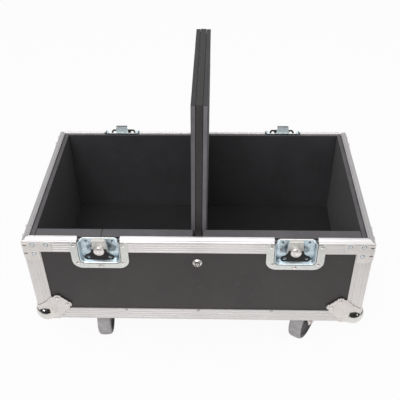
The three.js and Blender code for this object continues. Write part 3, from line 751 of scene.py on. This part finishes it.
# Corner braces
ROLL_CENTRE = 4
BRACE_TOP = TALL - 4
BRACE_BAND = TALL - 25
BRACE_FOOT = TALL - 50
BAND_FOOT = BRACE_FOOT + 5
LOWER_SLOT = (TALL - 32.6, TALL - 30.0)
UPPER_SLOT = (TALL - 11.6, TALL - 9.0)
BRACE_SKIN = 1.5
BRACE_LEG = 32
BRACE_REACH = 58.5
BRACE_SCREWS = ((21.5, 7.2), (48.5, 7.2), (21.5, 31.6))
BAND_RADIUS = 5.5
SLOT_RADIUS = 4.6
SLOT_REACH = 8.5
SLOT_FACES = (-0.62, -0.1)


def quarter_strip(shape, finish, radius, low, high, thickness=1.2, start=180, end=270):
    """A plate rolled round the upright edge of a corner, between two heights."""
    inner, soft = radius - thickness, 0.25
    section = [(inner, low), (radius, low + soft), (radius, high - soft), (inner, high)]
    rings = []
    for x, y in arc(0, 0, 1, start, end, 6):
        rings.append([(ROLL_CENTRE + r * x, ROLL_CENTRE + r * y, z) for r, z in section])
    shape.loft(rings, finish)


def on_both_walls(along, height, proud):
    """One place on each wall of a corner, facing outwards."""
    return [shift(along, -proud, height) @ OUTWARDS, shift(-proud, along, height) @ SIDEWAYS]


def brace_outline():
    """One plate of a brace: an L whose folded edge is cut by two slots."""
    corners = [(ROLL_CENTRE, BAND_FOOT, 0.5), (9, BRACE_FOOT, 1.5), (BRACE_LEG, BRACE_FOOT, 5)]
    corners += [(BRACE_LEG, BRACE_BAND, 2.5), (BRACE_REACH, BRACE_BAND, 5)]
    corners += [(BRACE_REACH, BRACE_TOP, 1.0), (ROLL_CENTRE, BRACE_TOP)]
    for low, high in (UPPER_SLOT, LOWER_SLOT):
        corners += [(ROLL_CENTRE, high), (SLOT_REACH, high, 0.6), (SLOT_REACH, low, 0.6)]
        corners.append((ROLL_CENTRE, low))
    return rounded(corners)


def make_braces():
    """Corner braces: two flat L plates and the rolled bands between their fold slots."""
    bands = ((BAND_FOOT, LOWER_SLOT[0]), (LOWER_SLOT[1], UPPER_SLOT[0]), (UPPER_SLOT[1], BRACE_TOP))
    for corner, place in CORNERS.items():
        shape = Shape(place)
        for facing in (OUTWARDS, SIDE_PLATE):
            shape.plate(brace_outline(), FIT_GAP, BRACE_SKIN, "brace", facing)
        for low, high in bands:
            quarter_strip(shape, "brace", BAND_RADIUS, low, high)
        # The slots are lined and filled with black: painted shade where they open.
        for low, high in (LOWER_SLOT, UPPER_SLOT):
            quarter_strip(shape, "lacquer", SLOT_RADIUS, low - 0.2, high + 0.2, 0.5)
            slot = [(3.8, low), (3.8, high), (8.4, high), (8.4, low)]
            for facing in (Matrix(), MIRRORED):
                shape.loft([[(x, y, z) for x, z in slot] for y in SLOT_FACES], "lacquer", facing)
        for along, drop in BRACE_SCREWS:
            for spot in on_both_walls(along, TALL - drop, BRACE_SKIN):
                screw(shape, spot)
        shape.piece("brace_" + corner + "_pressed", "base", ["brace_" + corner])


# Ball corners
BALL_RADIUS = 25.0
BALL_INSET = 15.5
BEYOND_PLATES = -0.9
LEAF_SKIN = 1.9
LEAF_ROLL = 5.9
LEAF_RIVETS = (47, 65.5)


def scalloped(x, y, radius, start, end, bumps, steps=30):
    """An arc whose edge is pressed into small round bumps."""
    points = []
    for i in range(steps + 1):
        part = i / steps
        angle = math.radians(start + (end - start) * part)
        reach = radius - 2.1 + 2.5 * abs(math.sin(math.pi * bumps * part))
        points.append((x + reach * math.cos(angle), y + reach * math.sin(angle)))
    return points


def leaf_outline():
    """One leaf: a rising edge, two scalloped lobes round the rivets and a notch between them."""
    edge = [(4, 4), (43, 4), (44, 6), (49, 13.5), (54, 20.5), (60, 26), (66, 31), (69, 35)]
    half = edge + scalloped(65.5, 47, 9.5, -48, 62, 3) + [(66.4, 58.4), (63.2, 60.6)]
    return half + [(y, x) for x, y in reversed(half)]


def ball(shape, finish, steps):
    """The part of a ball that stands out beyond the plates of a corner."""
    points, faces = [], []
    rows = steps // 2
    for i in range(rows + 1):
        tilt = math.pi * i / rows
        for j in range(steps):
            angle = 2 * math.pi * j / steps
            flat = math.sin(tilt)
            way = Vector((flat * math.cos(angle), flat * math.sin(angle), math.cos(tilt)))
            points.append(Vector([BALL_INSET] * 3) + way * BALL_RADIUS)
    for a in range(0, rows * steps, steps):
        b = a + steps
        for j in range(steps):
            k = (j + 1) % steps
            face = (a + j, b + j, b + k, a + k)
            middle = sum((points[n] for n in face), Vector()) / 4
            if min(middle) < BEYOND_PLATES or max(middle) < BALL_INSET:
                faces.append(face)
    shape.faces(points, faces, finish)


def make_ball_corners():
    """Ball corners: a polished ball between three riveted leaves with rolled edges."""
    for corner, place in CORNERS.items():
        shape = Shape(place)
        for leaf in (OUTWARDS, SIDE_PLATE, FLIPPED):
            shape.plate(leaf_outline(), FIT_GAP, LEAF_SKIN, "steel", leaf, 0.45)
        for mixing in (Matrix(), SWAPPED, SWAPPED @ SWAPPED):
            shape.place = place @ mixing
            quarter_strip(shape, "steel", LEAF_ROLL, 33, 43, 1.6)
            for start, end in ((180, 214), (236, 270)):
                quarter_strip(shape, "steel", LEAF_ROLL, 18, 33.2, 1.6, start, end)
        shape.place = place
        ball(shape, "ball", 2 * sizes().round_steps)
        for along, up in (LEAF_RIVETS, LEAF_RIVETS[::-1]):
            below = shift(along, up, -LEAF_SKIN) @ turn("X", 180)
            for spot in (*on_both_walls(along, up, LEAF_SKIN), below):
                rivet(shape, spot, 4.2, 1.5)
        shape.piece("ball_corner_" + corner + "_pressed", "base", ["ball_corner_" + corner])


# Latches
HUB_LEVEL = TALL - 23
PIN = shift(0, -2.8, 0)
PIN_REACH = 14.5
DISH_RIVETS = ((-48.5, 9.3), (48.5, 9.3), (-44.5, 56), (44.5, 56), (0, 64))
DIMPLE_X = 26
EYE_X = 21.4
EYE_Y = -14.7
WING_RADIUS = 7.9
EYE_RADIUS = 3.5
RIB_X = 9.2
REAR_FOLD = -35
CLAW_LIFT = 16


def dish_path(half, top, low, radius, depth, top_radius=0.01):
    """An open U in the plane of a wall, from its top left round its foot to its top right."""
    inner, top, low = half - top_radius * 2, TALL + top, TALL + low
    corners = [(-inner, top), (-half, top, top_radius), (-half, low, radius)]
    corners += [(half, low, radius), (half, top, top_radius), (inner, top)]
    return [(x, depth, z) for x, z in rounded(corners, 8)]


def make_dish(name, place):
    """The pressed dish: satin flange, rolled lip and a bright bluish tub that is open above."""
    shape = Shape(place)
    outer = [
        dish_path(56.4, -3.2, -69.8, 20.7, -0.3, 3),
        dish_path(56.8, -3.0, -70.2, 21.0, -0.8, 3),
        dish_path(56.6, -3.2, -70.0, 20.8, -1.3, 3),
        dish_path(55.9, -3.8, -69.4, 20.2, -1.6, 3),
        dish_path(41.8, -3.8, -57.4, 11.4, -1.6),
    ]
    groove = [
        outer[-1],
        dish_path(41.4, -3.4, -57.0, 11.0, -0.6),
        dish_path(40.8, -0.6, -56.4, 10.4, -0.6),
    ]
    lip = [
        groove[-1],
        dish_path(40.4, 0.6, -56.0, 10.0, -1.7, 0.5),
        dish_path(39.6, 1.2, -55.2, 9.3, -2.0, 1.0),
        dish_path(38.6, 1.4, -54.2, 8.8, -1.2, 1.4),
        dish_path(38.0, 1.4, -53.4, 8.4, 0.6, 2.0),
        dish_path(37.2, 1.4, -52.4, 8.0, 8.4, 3.0),
    ]
    tub = [
        lip[-1],
        dish_path(36.6, 1.4, -51.6, 7.4, 10.0, 3.6),
        dish_path(35.2, 1.4, -50.2, 6.4, 10.4, 4.0),
    ]
    # The black groove between the flange and the lip is a painted shadow line.
    bands = ((outer, "flange"), (groove, "lacquer"), (lip, "lip"), (tub, "zinc"))
    for rings, finish in bands:
        shape.loft(rings, finish, closed=False, capped=False)
    rim = [(9.3, TALL + 0.1), (9.3, TALL + 1.1), (9.8, TALL + 1.5), (11.5, TALL + 1.5), (11.5, TALL + 0.1)]
    shape.loft(run(rim, -31.5, 31.5), "flange")
    shape.loft([tub[-1], [(x, 11.6, z) for x, _, z in tub[-1]]], "zinc")
    for along, drop in DISH_RIVETS:
        rivet(shape, shift(along, -1.5, TALL - drop) @ OUTWARDS, 4.0, 1.5)
    for along in (-DIMPLE_X, DIMPLE_X):
        dimple = shift(along, 10.5, TALL - 8) @ OUTWARDS
        shape.turned([(0, -0.3), (3.8, -0.3), (3.5, 0.6), (2.2, 1.3), (0, 1.5)], "zinc", dimple, 24)
    shape.piece(name + "_pressed", "base", [name])


def make_hub(name, place):
    """The turning hub: a shaft, a domed disc with a turned groove, and the wing's cross pin."""
    shape = Shape(place)
    shaft = [(0, -10.1), (5.6, -10.1), (6, -9.6), (6, 1.4), (0, 1.4)]
    shape.turned(shaft, "satin", OUTWARDS, 40)
    disc = [(0, 1.3), (10.2, 1.3), (10.5, 1.6), (10.5, 3.4), (9.9, 4.2), (8.3, 4.55), (7.6, 4.2)]
    disc += [(6.9, 4.2), (6.2, 4.5), (3.2, 4.6), (2.6, 4.1), (0, 4.0)]
    shape.turned(disc, "polished", OUTWARDS, 40)
    shape.turned(rod(0.9, -PIN_REACH, PIN_REACH), "polished", PIN @ ACROSS, 16)
    shape.piece(name + "_turned", name, [name])


def wing_outline():
    """The wing: shoulders at the pin, sloping flanks, round ends and a straight foot."""
    right = [(PIN_REACH, 5), (15.2, 1), (17.4, -3), (20.6, -6)]
    right += arc(EYE_X, EYE_Y, WING_RADIUS, 62, -72, 14) + [(22.4, -22.2)]
    left = [(-x, y) for x, y in reversed(right)]
    return list(reversed(right)) + arc(0, 0, 10.9, 27, -207, 26) + list(reversed(left))


def make_wing(name, place):
    """The wing: a lacquered plate with two finger eyes, and two barrels on the pin."""
    shape = Shape(place)
    eyes = [arc(x, EYE_Y, EYE_RADIUS, 0, 360, 24)[:-1] for x in (-EYE_X, EYE_X)]
    shape.plate(wing_outline(), 1.9, 3.7, "lacquer", OUTWARDS, 0.45, eyes)
    for start, end in ((-PIN_REACH, -11.2), (11.2, PIN_REACH)):
        barrel = [(0, start), (1.2, start), (2.0, start + 0.2), (2.0, end - 0.2), (1.2, end), (0, end)]
        shape.turned(barrel, "lacquer", PIN @ ACROSS, 20)
    shape.piece(name + "_lacquered", name, [name])


def make_claw(name, place, side):
    """The claw: a flared plate with a slot for the shaft, two pressed ribs and a curled hook."""
    shape = Shape(place)
    top = TALL + 1
    foot = HUB_LEVEL - 26.7
    outline = rounded([(-18.4, foot, 3), (18.4, foot, 3), (13, top - 0.6, 0.4), (-13, top - 0.6, 0.4)])
    low, high = foot + 4.4, HUB_LEVEL + 6.3
    slot = rounded([(-6.3, low, 6), (6.3, low, 6), (6.3, high, 6), (-6.3, high, 6)])
    shape.plate(outline, -8.5, -6.5, "satin", OUTWARDS, 0.4, [slot])
    # The inner face of the plate is a pale non-metal copy, seen on the raised claws at the back: painted
    # light.
    shape.plate(outline, -8.75, -8.4, "claw_back", OUTWARDS, 0.1, [slot])
    curl = [(8.5, top - 1.0), (7.8, top - 0.1), (1.6, top - 0.1), (0.6, top - 0.8), (0.5, top - 2.3)]
    curl += [(1.1, top - 2.6), (1.9, top - 2.2), (6.6, top - 2.4)]
    # The hooks at the back get a much darker copy of the steel: painted shade.
    shape.loft(run(curl, -12.9, 12.9), side + "_hook")
    for x in (-RIB_X, RIB_X):
        section = [(x - 1.0, 6.6), (x, 5.7), (x + 1.0, 6.6)]
        shape.loft([[(*corner, z) for corner in section] for z in (HUB_LEVEL + 9, top - 6)], "satin")
    shape.piece(name + "_pressed", name, [name])


def make_latches():
    """The latches: those at the front rest closed, and those at the back with the claw raised."""
    for side in ("front", "back"):
        raised = side == "back"
        for hand, sign in (("left", -1), ("right", 1)):
            place = SIDES[side] @ shift((-sign if raised else sign) * LATCH_X)
            hub = place @ shift(0, 0, HUB_LEVEL) @ turn("Y", 180 if raised else 0)
            fold = PIN @ turn("X", REAR_FOLD if raised else 0) @ PIN.inverted()
            spot = side + "_" + hand
            make_dish("latch_dish_" + spot, place)
            make_hub("latch_hub_" + spot, hub)
            make_wing("latch_wing_" + spot, hub @ fold)
            make_claw("latch_claw_" + spot, place @ shift(0, 0, CLAW_LIFT if raised else 0), side)


# Foam
LINER_FOOT = PANEL + FIT_GAP
SILL = LINER_FOOT + 20
LINER_FACES = {"front": 38.0, "back": 17.9, "left": 23.5, "right": 23.5}
TAB_HALF = 9.5
TAB_OFFSETS = {"front": 0.9, "back": -0.9}
KERF = (-188.3, -187.9)
WANDER_SCALE = 18
LINER_STEP = 18


def foam_sheet(name, node, place, outline, start, end, finish, seed, cuts=24):
    """A soft foam sheet from an outline carried along X, its faces wandering a little from flat."""
    shape = Shape(place)
    stops = [start + (end - start) * i / cuts for i in range(cuts + 1)]
    shape.loft([[(x, *corner) for corner in outline] for x in stops], finish)
    data = shape.data(name)
    for vertex in data.vertices:
        wander = noise.noise(vertex.co * WANDER_SCALE + Vector((seed, 0, 0)))
        vertex.co -= vertex.normal * sizes().foam_unevenness * abs(wander)
    thing = add_object(name, data)
    soft = thing.modifiers.new("soft_edges", "BEVEL")
    soft.width = sizes().foam_edge
    soft.segments = 3
    soft.limit_method = "ANGLE"
    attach(thing, "base")
    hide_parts(node)


def heights(low, high, step):
    """Heights from low to high, about step apart."""
    count = max(1, round((high - low) / step))
    return [low + (high - low) * i / count for i in range(count + 1)]


def make_liners():
    """Foam on the four walls: the front and back ones are cut through for the divider's tabs."""
    for seed, (side, place) in enumerate(SIDES.items()):
        node, face = "liner_" + side, LINER_FACES[side]
        # The side liners take a darker copy of the foam and the back liner a lighter one: painted shade
        # and painted light.
        finish = side + "_foam" if AXES[side] == "X" else "side_foam"
        end = LEDGE if AXES[side] == "Y" else LINER_FACES["left"]
        half = LENGTHS[side] / 2 - end - FIT_GAP
        ledge = LEDGE + FIT_GAP
        outline = [(face, z) for z in heights(LINER_FOOT, TALL, LINER_STEP)]
        outline += [(ledge, TALL), (ledge, TALL - ledge), (BEHIND_PANEL, TALL - ledge)]
        outline += [(BEHIND_PANEL, LINER_FOOT)]
        spans = [(-half, half)]
        if AXES[side] == "X":
            low, high = TAB_OFFSETS[side] - TAB_HALF, TAB_OFFSETS[side] + TAB_HALF
            spans = [(-half, low), (high, half)]
            base = [(face, LINER_FOOT), (face, SILL), (BEHIND_PANEL, SILL), (BEHIND_PANEL, LINER_FOOT)]
            foam_sheet(node + "_sill", node, place, base, low - 0.1, high + 0.1, finish, seed, 2)
        if side == "front":
            spans[:1] = [(-half, KERF[0]), (KERF[1], low)]
        for number, (start, end) in enumerate(spans):
            name = node + "_sheet_" + str(number)
            foam_sheet(name, node, place, outline, start, end, finish, seed * 3.7 + number)


# Divider
LEAN = 1.17
DIVIDER_X = -2.1
DIVIDER_RISE = 281
CORE_SIDE = 6.3
FOAM_SIDE = 15.0
BACK_END = 344.3
DIVIDER_STEP = 20


def make_divider():
    """The upright divider: its core, and a foam sheet on each face, leaning to the right."""
    foot = LINER_FOOT + FOAM_SIDE * math.sin(math.radians(LEAN))
    place = METRES @ shift(DIVIDER_X, 0, UNDER + foot) @ turn("Y", LEAN) @ turn("Z", 90)
    levels = heights(0, TALL + DIVIDER_RISE - foot, DIVIDER_STEP)
    front, back = LINER_FACES["front"] + FIT_GAP - DEPTH / 2, BACK_END - DEPTH / 2
    for hand, low, high in (("left", CORE_SIDE, FOAM_SIDE), ("right", -FOAM_SIDE, -CORE_SIDE)):
        outline = [(high, z) for z in levels] + [(low, z) for z in reversed(levels)]
        node = "divider_foam_" + hand
        # The right sheet takes a lighter copy of the foam: painted light.
        foam_sheet(node + "_sheet", node, place, outline, front, back, "divider_" + hand, low, 18)
    dress("divider_core", "plywood", 0.0004)


def dress(node, finish, bevel):
    """Gives a CAD node its finish, and a fine bevel along its edges."""
    thing = bpy.data.objects[node]
    thing.data.materials.clear()
    thing.data.materials.append(finish_for(finish))
    edges = thing.modifiers.new("fine_edges", "BEVEL")
    edges.width = bevel
    edges.segments = 2
    edges.limit_method = "ANGLE"
    edges.angle_limit = math.radians(40)


# Panels
CUP_DROP = 57


def make_panels():
    """The panels' laminate, the lining on the floor, and the two screws that hold the divider."""
    for side in ("front", "back", "left", "right", "floor"):
        dress("panel_" + side, "laminate", 0.0003)
    floor = bpy.data.objects["panel_floor"].data
    # The floor lining is a darker copy of the foam: painted shade.
    floor.materials.append(finish_for("lining"))
    for polygon in floor.polygons:
        if polygon.center.z > (UNDER + PANEL + 0.1) * MM:
            polygon.material_index = 1
    for side in ("front", "back"):
        shape = Shape(SIDES[side])
        at = shift(0, WALL_INSET, TALL - CUP_DROP) @ OUTWARDS
        cup = [(9.7, -0.2), (9.7, 0.6), (9.2, 1.3), (7.6, 3.1), (6.9, 3.3), (6.3, 3.1), (4.8, 1.6)]
        shape.turned(cup + [(4.4, 1.5), (0, 1.5)], "polished", at, 40)
        shape.turned([(4.4, 1.4), (4.3, 2.5), (3.4, 3.2), (1.6, 3.5), (0, 3.55)], "polished", at, 32)
        cross_recess(shape, at, 2.3, 3.0, 3.62)
        shape.piece("cup_screw_" + side, "base", [])


# Casters
CASTER_X = 218
CASTER_Y = 150
CASTER_TURNS = {"front_left": 4.2, "front_right": -31.3, "back_left": 168.0, "back_right": 195.0}
BOLT_X = 38
BOLT_Y = 28
AXLE_TRAIL = 38
AXLE_HEIGHT = 50
AXLE = shift(0, AXLE_TRAIL, AXLE_HEIGHT)
FORK_TOP = UNDER - 8.1
PLATE_SKIN = 2.5
HEXAGON = 6
WHEEL_STEPS = 96


def make_caster_plate(name, place):
    """The top plate with the upper race of the swivel and four bolts."""
    shape = Shape(place @ shift(0, 0, UNDER - FIT_GAP))
    outline = rounded([(-48, -38, 6), (48, -38, 6), (48, 38, 6), (-48, 38, 6)])
    shape.plate(outline, -PLATE_SKIN, 0, "steel", None, 0.5)
    race = [(0, -7.5), (21, -7.5), (23.2, -7.3), (24.6, -6.2), (25, -4.8), (25.6, -3.4), (27.5, -2.5)]
    shape.turned(race + [(0, -2.4)], "steel", None, sizes().round_steps)
    for x in (-BOLT_X, BOLT_X):
        for y in (-BOLT_Y, BOLT_Y):
            washer = [(0, -3.7), (8.2, -3.7), (8.4, -3.4), (8.4, -2.4), (0, -2.4)]
            bolt = [(0, -6.5), (5.4, -6.5), (6.1, -5.9), (6.1, -3.6), (0, -3.6)]
            shape.turned(washer, "steel", shift(x, y), 28)
            shape.turned(bolt, "steel", shift(x, y), HEXAGON)
    shape.piece(name + "_zinced", "base", [name])


def make_fork(name, place):
    """The fork: a dished head and two tapering legs with softened edges, axle and nuts."""
    shape = Shape(place)
    head = [(0, -5), (24.5, -5), (26.3, -4.4), (27, -3), (26.6, -1), (25.2, 0), (0, 0)]
    shape.turned(head, "steel", shift(0, 0, FORK_TOP), sizes().round_steps)
    foot = arc(AXLE_TRAIL, AXLE_HEIGHT, 12, 25, -165, 14)
    leg = [(-15, FORK_TOP - 2.4), (26, FORK_TOP - 2.4), (37, 84), (47.5, 62), *foot, (10, 88)]
    for start in (-20, 17.5):
        shape.plate(leg, start, start + PLATE_SKIN, "steel", SWAPPED, 0.5)
    along = AXLE @ ACROSS
    shape.turned(rod(6, -20.5, 20.5), "polished", along, 32)
    washer = [(0, 19.8), (9.6, 19.8), (9.8, 20.2), (9.6, 20.9), (0, 20.9)]
    nut = [(0, 20.8), (7.6, 20.8), (7.9, 21.4), (7.9, 25.2), (7.2, 25.9), (0, 25.9)]
    for at in (along @ FLIPPED, along):
        shape.turned(washer, "polished", at, 32)
        shape.turned(nut, "polished", at, HEXAGON)
    shape.piece(name + "_zinced", name, [name])


def make_wheel(name, place):
    """The wheel: a crowned tyre moulded on a dished centre with a raised boss."""
    shape = Shape(place)
    disc = [(6.2, 17.2), (11.4, 17.2), (12, 16.6), (12.6, 12.0), (14.5, 10.4), (17, 10)]
    disc += [(34.5, 10), (36.6, 10.8), (37.6, 12.6), (38.2, 14.4), (39.2, 15), (44.6, 14.9)]
    tread = [disc[-1], (46.4, 14.0), (47.2, 13.6), (48.6, 11.6), (49.5, 8.0), (49.9, 4.0)]
    outside = [(r, -z) for r, z in tread] + [(50, 0)] + list(reversed(tread))
    inside = list(reversed(disc)) + [(r, -z) for r, z in disc]
    shape.turned(outside, "tyre", ACROSS, WHEEL_STEPS, capped=False)
    shape.turned(inside, "wheel_disc", ACROSS, WHEEL_STEPS, capped=False)
    shape.piece(name + "_moulded", name, [name], 50.0)


def make_casters():
    for spot, degrees in CASTER_TURNS.items():
        x = -CASTER_X if spot.endswith("left") else CASTER_X
        y = -CASTER_Y if spot.startswith("front") else CASTER_Y
        place = METRES @ shift(x, y)
        turned = place @ turn("Z", degrees)
        make_caster_plate("caster_plate_" + spot, place)
        make_fork("caster_fork_" + spot, turned)
        make_wheel("caster_wheel_" + spot, turned @ AXLE)


# Studio, in metres
CAMERA_PLACE = (0.0446, -1.0801, 1.1842)
CAMERA_ANGLES = (39.26, -2.38, -1.13)
CAMERA_LENS = 56.71
FLOOR_REACH = 40.0
FLOOR_GLOW = 0.94
WORLD_LIGHT = 0.38
FLAG_GLOW = 0.03
CARD_TARGET = 0.327


def camera_for_photo():
    """The camera at the photograph's place and angle."""
    data = bpy.data.cameras.new("camera")
    data.lens = CAMERA_LENS
    data.clip_end = 20.0
    pitch, yaw, roll = (math.radians(angle) for angle in CAMERA_ANGLES)
    level = Vector((math.cos(yaw), -math.sin(yaw), 0))
    flat = math.cos(pitch)
    forward = Vector((math.sin(yaw) * flat, math.cos(yaw) * flat, -math.sin(pitch)))
    upright = level.cross(forward)
    right = level * math.cos(roll) + upright * math.sin(roll)
    up = upright * math.cos(roll) - level * math.sin(roll)
    camera = add_object("camera", data)
    turned = Matrix((right, up, -forward)).transposed().to_4x4()
    camera.matrix_world = Matrix.Translation(CAMERA_PLACE) @ turned
    bpy.context.scene.camera = camera


def aim(thing, axis, spot, target):
    """Puts a lamp or a card at a spot, with one of its axes towards a target."""
    thing.location = spot
    thing.rotation_mode = "QUATERNION"
    thing.rotation_quaternion = (Vector(target) - Vector(spot)).to_track_quat(axis, "Y")


def lamp(name, power, size, spot, target):
    data = bpy.data.lights.new(name, "AREA")
    data.energy = power
    data.size = size
    aim(add_object(name, data), "-Z", spot, target)


def sheet(name, finish, squares, size, stretch=(1, 1)):
    """A flat sheet for the studio, with a number of squares along each side."""
    mesh = bmesh.new()
    matrix = Matrix.Diagonal((*stretch, 1, 1))
    bmesh.ops.create_grid(mesh, x_segments=squares, y_segments=squares, size=size, matrix=matrix)
    thing = add_object(name, mesh_of(name, mesh, finish.material))
    return thing


def make_floor():
    """A pale floor that catches shade and looks almost evenly lit."""
    finish = Finish("studio_floor")
    shaded = finish.add("BsdfDiffuse", {}, {"Color": colours().floor})
    glow = finish.add("Emission", {}, {"Color": WHITE, "Strength": 1.0})
    finish.show(finish.mix(finish.seen() * FLOOR_GLOW, shaded, glow))
    sheet("studio_floor", finish, 2, FLOOR_REACH)


def make_world():
    """White to look at, and dimmer as a light."""
    world = bpy.data.worlds.new("studio")
    nodes = Nodes(world, "OutputWorld")
    light = nodes.add("Background", {}, {"Color": WHITE, "Strength": WORLD_LIGHT})
    view = nodes.add("Background", {}, {"Color": WHITE, "Strength": 1.0})
    nodes.show(nodes.mix(nodes.seen(), light, view))
    bpy.context.scene.world = world


def card(name, width, height, spot, target, strength):
    """A studio card that only shiny surfaces see: a dark flag, or a small bright panel."""
    finish = Finish(name)
    finish.show(finish.add("Emission", {}, {"Color": WHITE, "Strength": strength}))
    thing = sheet(name, finish, 1, 0.5, (width, height))
    aim(thing, "Z", spot, target)
    for rays in ("camera", "diffuse", "transmission", "volume_scatter", "shadow"):
        setattr(thing, "visible_" + rays, False)


def make_stage():
    camera_for_photo()
    make_floor()
    make_world()
    lamp("key", 31.0, 1.6, (-0.55, -1.9, 2.4), (0, 0, 0.3))
    lamp("top", 14.0, 2.0, (-0.15, 0.4, 2.8), (0, 0, 0.2))
    lamp("fill", 8.0, 1.4, (2.2, -0.6, 1.2), (0, 0, 0.3))
    for hand, sign, spot, size, strength in (
        ("left", -1, (-0.467, -0.449, 0.254), (0.085, 0.065), 3.0),
        ("right", 1, (0.534, -0.421, 0.197), (0.06, 0.05), 1.6),
    ):
        x, y = sign * CARD_TARGET, -0.18
        card(hand + "_flag", 1.16, 0.69, (sign * 0.472, -0.626, 0.355), (x, y, 0.355), FLAG_GLOW)
        card(hand + "_side_flag", 0.5, 0.15, (sign * 0.741, -0.107, 0.08), (x, y, 0.08), FLAG_GLOW)
        card(hand + "_panel", *size, spot, (x, y, 0.155), strength)
    card("centre_screen", 0.42, 0.5, (0, -0.46, 0.252), (1, -0.46, 0.252), 1.0)


class FLIGHTCASE_OT_stage(bpy.types.Operator):
    """Make the studio: camera, floor, world, lamps and cards"""

    bl_idname = "flightcase.stage"
    bl_label = "Studio"

    def execute(self, context):
        make_stage()
        return {"FINISHED"}


class FLIGHTCASE_OT_panels(bpy.types.Operator):
    """Give the panels their laminate and add the cup screws"""

    bl_idname = "flightcase.panels"
    bl_label = "Panels"

    def execute(self, context):
        make_panels()
        return {"FINISHED"}


class FLIGHTCASE_OT_liners(bpy.types.Operator):
    """Make the foam liners"""

    bl_idname = "flightcase.liners"
    bl_label = "Foam liners"

    def execute(self, context):
        make_liners()
        return {"FINISHED"}


class FLIGHTCASE_OT_divider(bpy.types.Operator):
    """Make the padded divider"""

    bl_idname = "flightcase.divider"
    bl_label = "Divider"

    def execute(self, context):
        make_divider()
        return {"FINISHED"}


class FLIGHTCASE_OT_edging(bpy.types.Operator):
    """Make the fluted rails, base angles and posts"""

    bl_idname = "flightcase.edging"
    bl_label = "Aluminium edging"

    def execute(self, context):
        make_rails()
        make_angles()
        make_posts()
        return {"FINISHED"}


class FLIGHTCASE_OT_braces(bpy.types.Operator):
    """Make the pressed corner braces"""

    bl_idname = "flightcase.braces"
    bl_label = "Corner braces"

    def execute(self, context):
        make_braces()
        return {"FINISHED"}


class FLIGHTCASE_OT_ball_corners(bpy.types.Operator):
    """Make the ball corners"""

    bl_idname = "flightcase.ball_corners"
    bl_label = "Ball corners"

    def execute(self, context):
        make_ball_corners()
        return {"FINISHED"}


class FLIGHTCASE_OT_latches(bpy.types.Operator):
    """Make the recessed latches"""

    bl_idname = "flightcase.latches"
    bl_label = "Latches"

    def execute(self, context):
        make_latches()
        return {"FINISHED"}


class FLIGHTCASE_OT_casters(bpy.types.Operator):
    """Make the swivel casters"""

    bl_idname = "flightcase.casters"
    bl_label = "Casters"

    def execute(self, context):
        make_casters()
        return {"FINISHED"}


OPERATORS = (
    FLIGHTCASE_OT_stage,
    FLIGHTCASE_OT_panels,
    FLIGHTCASE_OT_liners,
    FLIGHTCASE_OT_divider,
    FLIGHTCASE_OT_edging,
    FLIGHTCASE_OT_braces,
    FLIGHTCASE_OT_ball_corners,
    FLIGHTCASE_OT_latches,
    FLIGHTCASE_OT_casters,
)


class FLIGHTCASE_PT_pieces(bpy.types.Panel):
    """Lists the pieces of the flight case"""

    bl_label = "Flight Case"
    bl_idname = "FLIGHTCASE_PT_pieces"
    bl_space_type = "VIEW_3D"
    bl_region_type = "UI"
    bl_category = "Flight Case"

    def draw(self, context):
        for settings in (context.scene.case_sizes, context.scene.case_colours):
            for name in settings.bl_rna.properties.keys():
                if name not in ("rna_type", "name"):
                    self.layout.prop(settings, name)
        for operator in OPERATORS:
            self.layout.operator(operator.bl_idname)


CLASSES = (CaseSizes, CaseColours, *OPERATORS, FLIGHTCASE_PT_pieces)


def register():
    for item in CLASSES:
        bpy.utils.register_class(item)
    bpy.types.Scene.case_sizes = PointerProperty(type=CaseSizes)
    bpy.types.Scene.case_colours = PointerProperty(type=CaseColours)


def unregister():
    del bpy.types.Scene.case_colours
    del bpy.types.Scene.case_sizes
    for item in reversed(CLASSES):
        bpy.utils.unregister_class(item)


def main():
    register()
    bpy.context.scene.view_settings.view_transform = "Standard"
    bpy.ops.flightcase.stage()
    bpy.ops.flightcase.panels()
    bpy.ops.flightcase.liners()
    bpy.ops.flightcase.divider()
    bpy.ops.flightcase.edging()
    bpy.ops.flightcase.braces()
    bpy.ops.flightcase.ball_corners()
    bpy.ops.flightcase.latches()
    bpy.ops.flightcase.casters()


if __name__ == "__main__":
    main()
